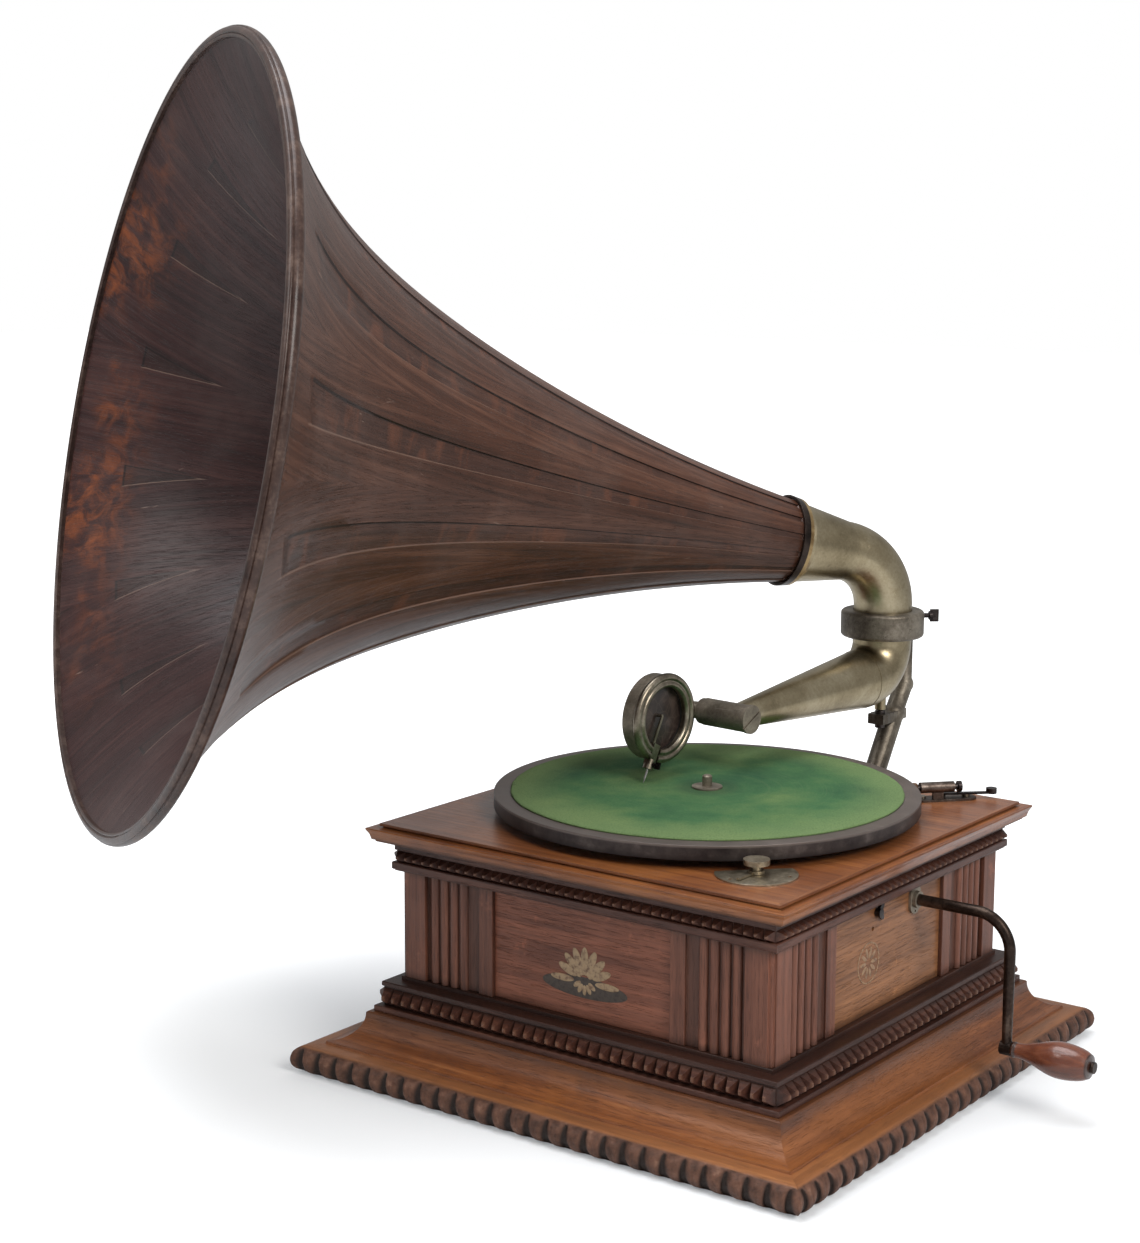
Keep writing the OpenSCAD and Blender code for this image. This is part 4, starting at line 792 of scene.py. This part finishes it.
aged = metal(
    "aged_nickel", (0.235, 0.190, 0.115), (0.350, 0.290, 0.185), (0.48, 0.415, 0.29), 0.25, 22, stain=0.25)
box_nickel = metal("box_nickel", (0.12, 0.10, 0.075), (0.25, 0.215, 0.165), (0.48, 0.43, 0.35), 0.25, 40)
barrel_brown = metal(
    "barrel_brown", (0.120, 0.100, 0.076), (0.240, 0.205, 0.160), (0.40, 0.35, 0.28), 0.42, 40, 0.7)
bright = metal("bright_nickel", (0.26, 0.225, 0.17), (0.46, 0.42, 0.345), (0.72, 0.68, 0.60), 0.22, 50)
dial_nickel = metal("dial_nickel", (0.20, 0.165, 0.115), (0.40, 0.345, 0.255), (0.64, 0.58, 0.46), 0.34, 60)
brake_brown = metal(
    "brake_brown", (0.045, 0.033, 0.027), (0.115, 0.088, 0.074), (0.26, 0.215, 0.185), 0.38, 60)
cast = metal(
    "bracket_metal", (0.060, 0.048, 0.038), (0.150, 0.128, 0.100), (0.30, 0.265, 0.215), 0.40, 30, 0.8)
blued = metal("blued_steel", (0.012, 0.009, 0.009), (0.032, 0.026, 0.026), (0.105, 0.090, 0.085), 0.30, 50)
plain_steel = metal("plain_steel", (0.24, 0.23, 0.22), (0.42, 0.41, 0.40), (0.66, 0.65, 0.63), 0.28, 60)
brass = metal("gear_brass", (0.22, 0.135, 0.045), (0.46, 0.31, 0.11), (0.70, 0.53, 0.24), 0.28, 50)
iron = metal("motor_iron", (0.035, 0.034, 0.034), (0.095, 0.093, 0.090), (0.20, 0.195, 0.19), 0.45, 40)

# The arm swings over the turntable on the bracket's collar; its tube tapers to the cross barrel of the
# sound box.
worked("tone_arm", "arm", "aged_nickel", aged, 0.0004)
worked("arm_barrel", "arm", "aged_nickel", barrel_brown, 0.0003)
worked("arm_bracket", "case", "bracket_metal", cast, 0.0005)
worked("arm_pivot_screw", "case", "blued_steel", blued, 0.0002)
worked("bracket_screws", "case", "bright_nickel", bright, 0.0002)

def fine_grained(name, dark, light, size, depth, **constants):
    """A dull material with a fine, even grain."""
    f = Finish(name, **constants)
    pore = f.even_noise(size, 3, 0.6)
    f.lay(f.ramp(pore, (0.3, dark), (0.7, light)), pore * 0.2 + 0.6, pore, depth)
    return f


# Fittings on the case: the speed regulator's plate and knob, the brake, the crank's escutcheon and its
# catch.
worked("speed_dial", "case", "bright_nickel", dial_nickel, 0.0003)
worked("speed_knob", "knob", "bright_nickel", dial_nickel, 0.0003)
worked("brake_plate", "case", "bright_nickel", brake_brown, 0.0003)
worked("brake_housing", "case", "blued_steel", brake_brown, 0.0004)
worked("brake_plunger", "brake_rod", "blued_steel", blued, 0.0003)
worked("brake_lever", "brake_arm", "blued_steel", blued, 0.0003)
worked("brake_screws", "case", "bright_nickel", bright, 0.0002)
worked("crank_escutcheon", "case", "bright_nickel", barrel_brown, 0.0003)
worked("side_catch", "catch", "bracket_metal", blued, 0.0003)
worked("horn_thumb_screw", "thumb", "blued_steel", blued, 0.0003)
leather = fine_grained("brake_leather", (0.07, 0.035, 0.018), (0.22, 0.12, 0.065), 700, 0.0003)
worked("brake_pad", "brake_rod", "leather", leather, 0.0002)

# Sound box: a round nickelled shell and ring hold a dark mica disc; a thin bar carries its shake from the
# needle.
mica = Finish("mica_disc", Coat_Weight=0.25, Coat_Roughness=0.12, Specular_IOR_Level=0.3)
cloud = mica.even_noise(60, 4, 0.6, 1.0)
flake = mica.node("ShaderNodeTexVoronoi", {"feature": "DISTANCE_TO_EDGE"}, {
    "Vector": mica.place(), "Scale": 130.0})
colour = mica.ramp(
    cloud, (0.35, (0.014, 0.009, 0.008)), (0.55, (0.030, 0.020, 0.017)), (0.75, (0.075, 0.050, 0.040)))
colour = mica.mix((1 - mica.rise(flake, 0.0, 0.06)) * 0.25, colour, (0.12, 0.085, 0.07))
mica.lay(colour, cloud * 0.3 + 0.20, cloud, 0.0002)
rubber = fine_grained(
    "gasket_rubber", (0.012, 0.011, 0.010), (0.040, 0.036, 0.032), 500, 0.0002, Specular_IOR_Level=0.3)
for node in ("barrel_cap", "crook", "box_shell"):
    worked(node, "sound_box", "aged_nickel", barrel_brown, 0.0003)
worked("box_ring", "sound_box", "bright_nickel", box_nickel, 0.0003)
worked("box_gaskets", "sound_box", "rubber", rubber)
worked("diaphragm", "sound_box", "mica", mica)
worked("stylus_bar", "sound_box", "aged_nickel", box_nickel, 0.0001)
worked("needle_screw", "clamp", "blued_steel", blued, 0.0001)
worked("needle", "stylus", "steel", plain_steel)

# Motor under the top board: two iron plates on steel pillars hold the spring drum, its gears and the
# governor.
worked("spindle", "turntable", "steel", barrel_brown, 0.0001)
for node, body, slot, finish in (
        ("motor_top_plate", "case", "motor_iron", iron), ("motor_bottom_plate", "case", "motor_iron", iron),
        ("motor_pillars", "case", "steel", plain_steel), ("motor_bushes", "case", "gear_brass", brass),
        ("speed_lever", "regulator", "steel", plain_steel), ("spring_drum", "drum", "motor_iron", iron),
        ("drum_cover", "drum", "motor_iron", iron), ("mainspring", "drum", "blued_steel", blued),
        ("winding_arbor", "arbor", "steel", plain_steel), ("crown_wheel", "arbor", "gear_brass", brass),
        ("ratchet_pawl", "pawl", "blued_steel", blued), ("middle_arbor", "middle", "gear_brass", brass),
        ("governor_shaft", "governor", "steel", plain_steel),
        ("governor_weights", "governor", "gear_brass", brass),
        ("governor_disc", "governor", "motor_iron", iron), ("crank_pinion", "crank", "gear_brass", brass)):
    worked(node, body, slot, finish)


# Crank: a bent steel rod, browned and rubbed, with a turned hardwood grip that is stained red-brown and
# polished.
rod_brown = metal(
    "rod_brown", (0.014, 0.009, 0.007), (0.040, 0.026, 0.020), (0.120, 0.085, 0.065), 0.32, 50, 0.85)
worked("crank_rod", "crank", "blued_steel", rod_brown, 0.0003)
grip_low, grip_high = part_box("crank_grip")
wood = Finish("grip_wood", Coat_Weight=0.6, Coat_Roughness=0.12)
x, y, z = wood.split(wood.place())
colour, height = grain(wood, x, y * 1.4, z * 1.4, [
    (0.30, (0.060, 0.014, 0.007)), (0.50, (0.150, 0.040, 0.018)), (0.72, (0.270, 0.090, 0.042))], 0.3)
end = 1 - wood.rise(x, grip_low.x + 0.0030, grip_low.x + 0.0042)
far = wood.rise(x, grip_high.x - 0.0024, grip_high.x - 0.0014)
colour = wood.mix(wood.math("MAXIMUM", end, far) * 0.85, colour, (0.022, 0.010, 0.007))
rub = wood.even_noise(80, 4, 0.6)
wood.lay(colour, rub * 0.2 + 0.22, height, 0.0002)
worked("crank_grip", "grip", "grip_wood", wood, 0.0003)


# Horn: fifteen mahogany staves glued into one flared bell, open at the small end. Long dark strips are let
# into the outside from the ferrule nearly to the rim, and narrow dark points into the inside; the rim is a
# double bead.
stave_count = 15
stave = 360 / stave_count
strip_middle = 5.5
strip_half = 3.3
point_middle = 17.7
wall = 0.005
horn_turn = math.radians(240)
horn_rise = math.radians(11.2)
axis = Vector((math.cos(horn_turn) * math.cos(horn_rise), math.sin(horn_turn) * math.cos(horn_rise),
               math.sin(horn_rise)))
down = Vector((math.cos(horn_turn) * math.sin(horn_rise), math.sin(horn_turn) * math.sin(horn_rise),
               -math.cos(horn_rise)))
across = axis.cross(down)
throat = 0.0317
mouth = 0.2748
horn_length = 0.4972
strip_end = horn_length - 0.0265
strip_start = 0.010
strip_depth = 0.0010
strip_slant = 0.0035
point_tip = horn_length - 0.076
bead_low, bead_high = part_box("horn_bead")
bead_ahead = 0.0025
horn_start = (bead_low + bead_high) / 2 - axis * (horn_length + bead_ahead)
# Which side of the horn's inside gets the painted light: the one at the camera's left.
painted_light_side = -1.0 if across.dot(level) > 0 else 1.0


def flare(t):
    return throat + (mouth - throat) * t * (0.286 + 0.424 * t + 0.29 * t ** 8)


def flare_slope(t):
    return (mouth - throat) * (0.286 + 0.848 * t + 2.61 * t ** 8) / horn_length


def horn_point(angle, radius, station):
    """A point of the horn: degrees from its lowest line, radius, and distance from the throat."""
    a = math.radians(angle)
    return horn_start + axis * station + down * (radius * math.cos(a)) + across * (radius * math.sin(a))


offsets = [-12, -9, -6.4, -3.55, -3.25, -1.6, 0, 1.6, 3.25, 3.55, 6.4, 9]
stations = [horn_length * (i / 60) ** 0.9 for i in range(61)]
stations = [s for s in stations if abs(s - strip_end) > 0.004 and s > 0.002 or s == 0]
stations += [0.0095, 0.0105, strip_end - 0.0012, strip_end - 0.0008, strip_end + 0.0012]
stations = sorted(set(stations))
columns = [(k, offset) for k in range(stave_count) for offset in offsets]
points, sections = [], []
for k, offset in columns:
    angle = strip_middle + stave * k + offset
    slant = (offset / strip_half) * strip_slant if abs(offset) < 4 else 0
    section = []
    for s in stations:
        near = max(0, 1 - abs(s - strip_end) / 0.03)
        s = s + slant * near
        t = s / horn_length
        in_strip = abs(offset) < strip_half and strip_start < s < strip_end + slant - 0.0010
        sunk = strip_depth if in_strip else 0.0
        ridge = 0.0003 * noise.noise(Vector((angle * 0.12, s * 9, 3)))
        section.append((flare(t) - sunk - 0.0003 + ridge, s))
    for s in reversed(stations):
        t = s / horn_length
        slope = flare_slope(t)
        length = math.sqrt(1 + slope ** 2)
        inner = (flare(t) - wall / length, s + wall * slope / length)
        section.append(inner if s > 0 else (flare(0) - wall, 0.0))
    points += [horn_point(angle, radius, s) for radius, s in section]
    sections.append(section)
wide = len(sections[0])
outer_count = len(stations)
total = len(columns)
faces, plan, fibre = [], [], []
for i in range(total):
    k, offset = columns[i]
    next_offset = columns[(i + 1) % total][1] if (i + 1) % len(offsets) else 12
    for j in range(wide):
        corners = ((i, j), ((i + 1) % total, j), ((i + 1) % total, (j + 1) % wide), (i, (j + 1) % wide))
        faces.append([a * wide + b for a, b in corners])
        flat, laid = [], []
        for a, b in corners:
            radius, s = sections[a][b]
            degrees = offset if a == i else next_offset
            flat.append((degrees / stave + 0.5, s / horn_length))
            laid.append((math.radians(degrees) * radius + k * 0.37, s))
        plan.append(flat)
        fibre.append(laid)


def horn_finish(name, stops, inside):
    """Mahogany of the horn with its strips or points drawn from the plan of one stave."""
    f = Finish(name, Coat_Weight=0.12, Coat_Roughness=0.26, Specular_IOR_Level=0.26)
    fibre_x, fibre_y = f.split(f.node("ShaderNodeUVMap", {"uv_map": "fibre"}, {}))[:2]
    plan_x, plan_y = f.split(f.node("ShaderNodeUVMap", {"uv_map": "UVMap"}, {}))[:2]
    degrees = (plan_x - 0.5) * stave
    station = plan_y * horn_length
    colour, height = grain(f, fibre_y, fibre_x, fibre_x * 0.31, stops, 0.4)
    if inside:
        # Painted light: an orange glow on the inner wall near the mouth, on the side at the camera's left.
        glow = f.noise(f.join(fibre_y, fibre_x, 0.0), (95, 60, 1), 5, 0.66, 0.6)
        cloud = f.rise(f.even_noise(11, 3, 0.6), 0.42, 0.62)
        sideways = f.distance_along(across, horn_start)
        glow = f.rise(glow, 0.38, 0.72) * cloud * f.rise(sideways * painted_light_side, 0.10, 0.24)
        glow = glow * f.rise(station, horn_length * 0.90, horn_length * 0.99)
        colour = f.mix(glow * 0.90, colour, (0.30, 0.075, 0.018))
        growing = (station - point_tip) / (strip_end - point_tip) * 2.1
        one = degrees - (point_middle - strip_middle)
        other = one + stave
        aside = f.math("MINIMUM", abs(one), abs(other))
        cut = 1 - f.rise(station, strip_end - 0.0006, strip_end + 0.0006)
        dark = f.rise(growing - aside, -0.06, 0.10) * cut
        colour = f.mix(dark * 0.50, colour, (0.020, 0.009, 0.008))
        # Painted shade and highlight: a dark line along one edge of each point and a light line along the
        # other.
        line = f.rise(growing - aside, -0.16, -0.04) * (1 - f.rise(growing - aside, 0.06, 0.16)) * cut
        base_line = f.rise(station, strip_end - 0.0018, strip_end - 0.0008) * cut
        base_line = base_line * f.rise(growing - aside, 0.0, 0.1)
        lit = f.math("MINIMUM", f.rise(one, -0.2, 0.2) + f.rise(0.0 - abs(other), -4, -3), 1.0)
        colour = f.mix(line * (1 - lit) * 0.9, colour, (0.008, 0.004, 0.004))
        colour = f.mix(line * lit * 0.55, colour, (0.26, 0.17, 0.13))
        colour = f.mix(base_line * 0.8, colour, (0.008, 0.004, 0.004))
    else:
        aside = abs(degrees)
        end = station - degrees * (strip_slant / strip_half)
        dark = (1 - f.rise(aside, strip_half - 0.1, strip_half + 0.1)) * (
            1 - f.rise(end, strip_end - 0.0010, strip_end)) * f.rise(station, 0.009, 0.011)
        strip_tone = grain(f, fibre_y * 1.3, fibre_x, 0.2, [
            (0.3, (0.022, 0.010, 0.007)), (0.5, (0.058, 0.026, 0.018)),
            (0.75, (0.140, 0.060, 0.036))], 0.4)[0]
        figure = f.noise(f.join(fibre_y, fibre_x, 0.0), (60, 20, 1), 4, 0.6, 0.8)
        strip_tone = f.mix(f.rise(figure, 0.50, 0.70) * 0.5, strip_tone, (0.150, 0.052, 0.026))
        colour = f.mix(dark, colour, strip_tone)
        # Painted shade: a dark line along one long edge of each strip.
        line = f.rise(degrees, strip_half - 0.55, strip_half - 0.1) * (
            1 - f.rise(degrees, strip_half + 0.15, strip_half + 0.45))
        before_end = 1 - f.rise(station, strip_end - 0.001, strip_end)
        colour = f.mix(line * 0.9 * before_end, colour, (0.010, 0.005, 0.004))
        # Painted highlight: a light line along the other long edge of each strip.
        light = f.rise(0 - degrees, strip_half - 0.1, strip_half + 0.15) * (
            1 - f.rise(0 - degrees, strip_half + 0.2, strip_half + 0.5))
        colour = f.mix(light * 0.45 * before_end, colour, (0.26, 0.17, 0.13))
    nick = f.noise(f.join(fibre_y, fibre_x, 0.0), (26, 120, 1), 3, 0.7, 1.2)
    colour = f.mix(f.rise(nick, 0.70, 0.76) * 0.45, colour, (0.30, 0.20, 0.155))
    haze = f.even_noise(14, 4, 0.6)
    colour = f.mix(f.rise(haze, 0.46, 0.70) * 0.06, colour, (0.30, 0.25, 0.23))
    f.lay(colour, haze * 0.26 + 0.24, height + haze * 0.4, 0.0003)
    return f


outer_wood = horn_finish("horn_outside", [
    (0.32, (0.022, 0.009, 0.005)), (0.50, (0.068, 0.027, 0.016)), (0.70, (0.150, 0.068, 0.042))], False)
inner_wood = horn_finish("horn_inside", [
    (0.32, (0.014, 0.005, 0.005)), (0.50, (0.040, 0.014, 0.013)), (0.72, (0.090, 0.038, 0.032))], True)
horn = piece_from("horn_staves", points, faces, outer_wood, plan)
fibre_map = horn.data.uv_layers.new(name="fibre")
fibre_map.data.foreach_set("uv", [v for face in fibre for corner in face for v in corner])
horn.data.materials.append(inner_wood.material)
for face in horn.data.polygons:
    face.material_index = 1 if outer_count - 1 <= face.index % wide < wide - 1 else 0
face_outwards(horn, 40)
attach(horn, "horn")
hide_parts("horn_flare")


def turned_ring(name, section, finish, steps=180):
    """A ring turned round the horn's axis from a closed section of (radius, station) points."""
    made = [horn_point(360 * i / steps, radius, s) for i in range(steps) for radius, s in section]
    ring = piece_from(name, made, run_faces(steps, len(section)), finish)
    face_outwards(ring, 45)
    return ring


rim_radius = 0.0055
rim_section = []
for i in range(64):
    a = 2 * math.pi * i / 64
    groove = sum(math.exp(-((a - at) / 0.11) ** 2) for at in (0.55, 1.75))
    reach = rim_radius - 0.0011 * min(1, groove)
    radius = mouth + max(-0.0034, reach * math.cos(a))
    rim_section.append((radius, horn_length + bead_ahead + reach * math.sin(a)))
wood = Finish("horn_rim", Coat_Weight=0.20, Coat_Roughness=0.20, Specular_IOR_Level=0.25)
worn = wood.even_noise(55, 5, 0.65)
fine = wood.even_noise(400, 3, 0.6)
colour = wood.ramp(worn * 0.7 + fine * 0.3, (0.34, (0.022, 0.011, 0.009)), (0.52, (0.058, 0.032, 0.025)),
                       (0.72, (0.15, 0.098, 0.076)))
wood.lay(colour, worn * 0.3 + 0.20, worn + fine * 0.4, 0.0003)
rim = turned_ring("horn_rim_bead", rim_section, wood)
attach(rim, "horn")
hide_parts("horn_bead")

# The horn's elbow is a pressed metal bend that the flare plugs into, with a dark ring and a brass one at
# the joint.
worked("horn_elbow", "horn", "aged_nickel", aged, 0.0004)
ferrule = Finish("horn_ferrule", Metallic=0.75)
station = ferrule.distance_along(axis, horn_start)
cloud = ferrule.even_noise(90, 4, 0.6)
dark = ferrule.ramp(cloud, (0.3, (0.014, 0.009, 0.007)), (0.7, (0.060, 0.042, 0.034)))
gold = ferrule.ramp(cloud, (0.3, (0.20, 0.125, 0.055)), (0.7, (0.52, 0.38, 0.19)))
colour = ferrule.mix(1 - ferrule.rise(station, 0.0036, 0.0040), dark, gold)
ferrule.lay(colour, cloud * 0.3 + 0.22, cloud, 0.0002)
worked("horn_ferrule", "horn", "horn_rim", ferrule, 0.0003)
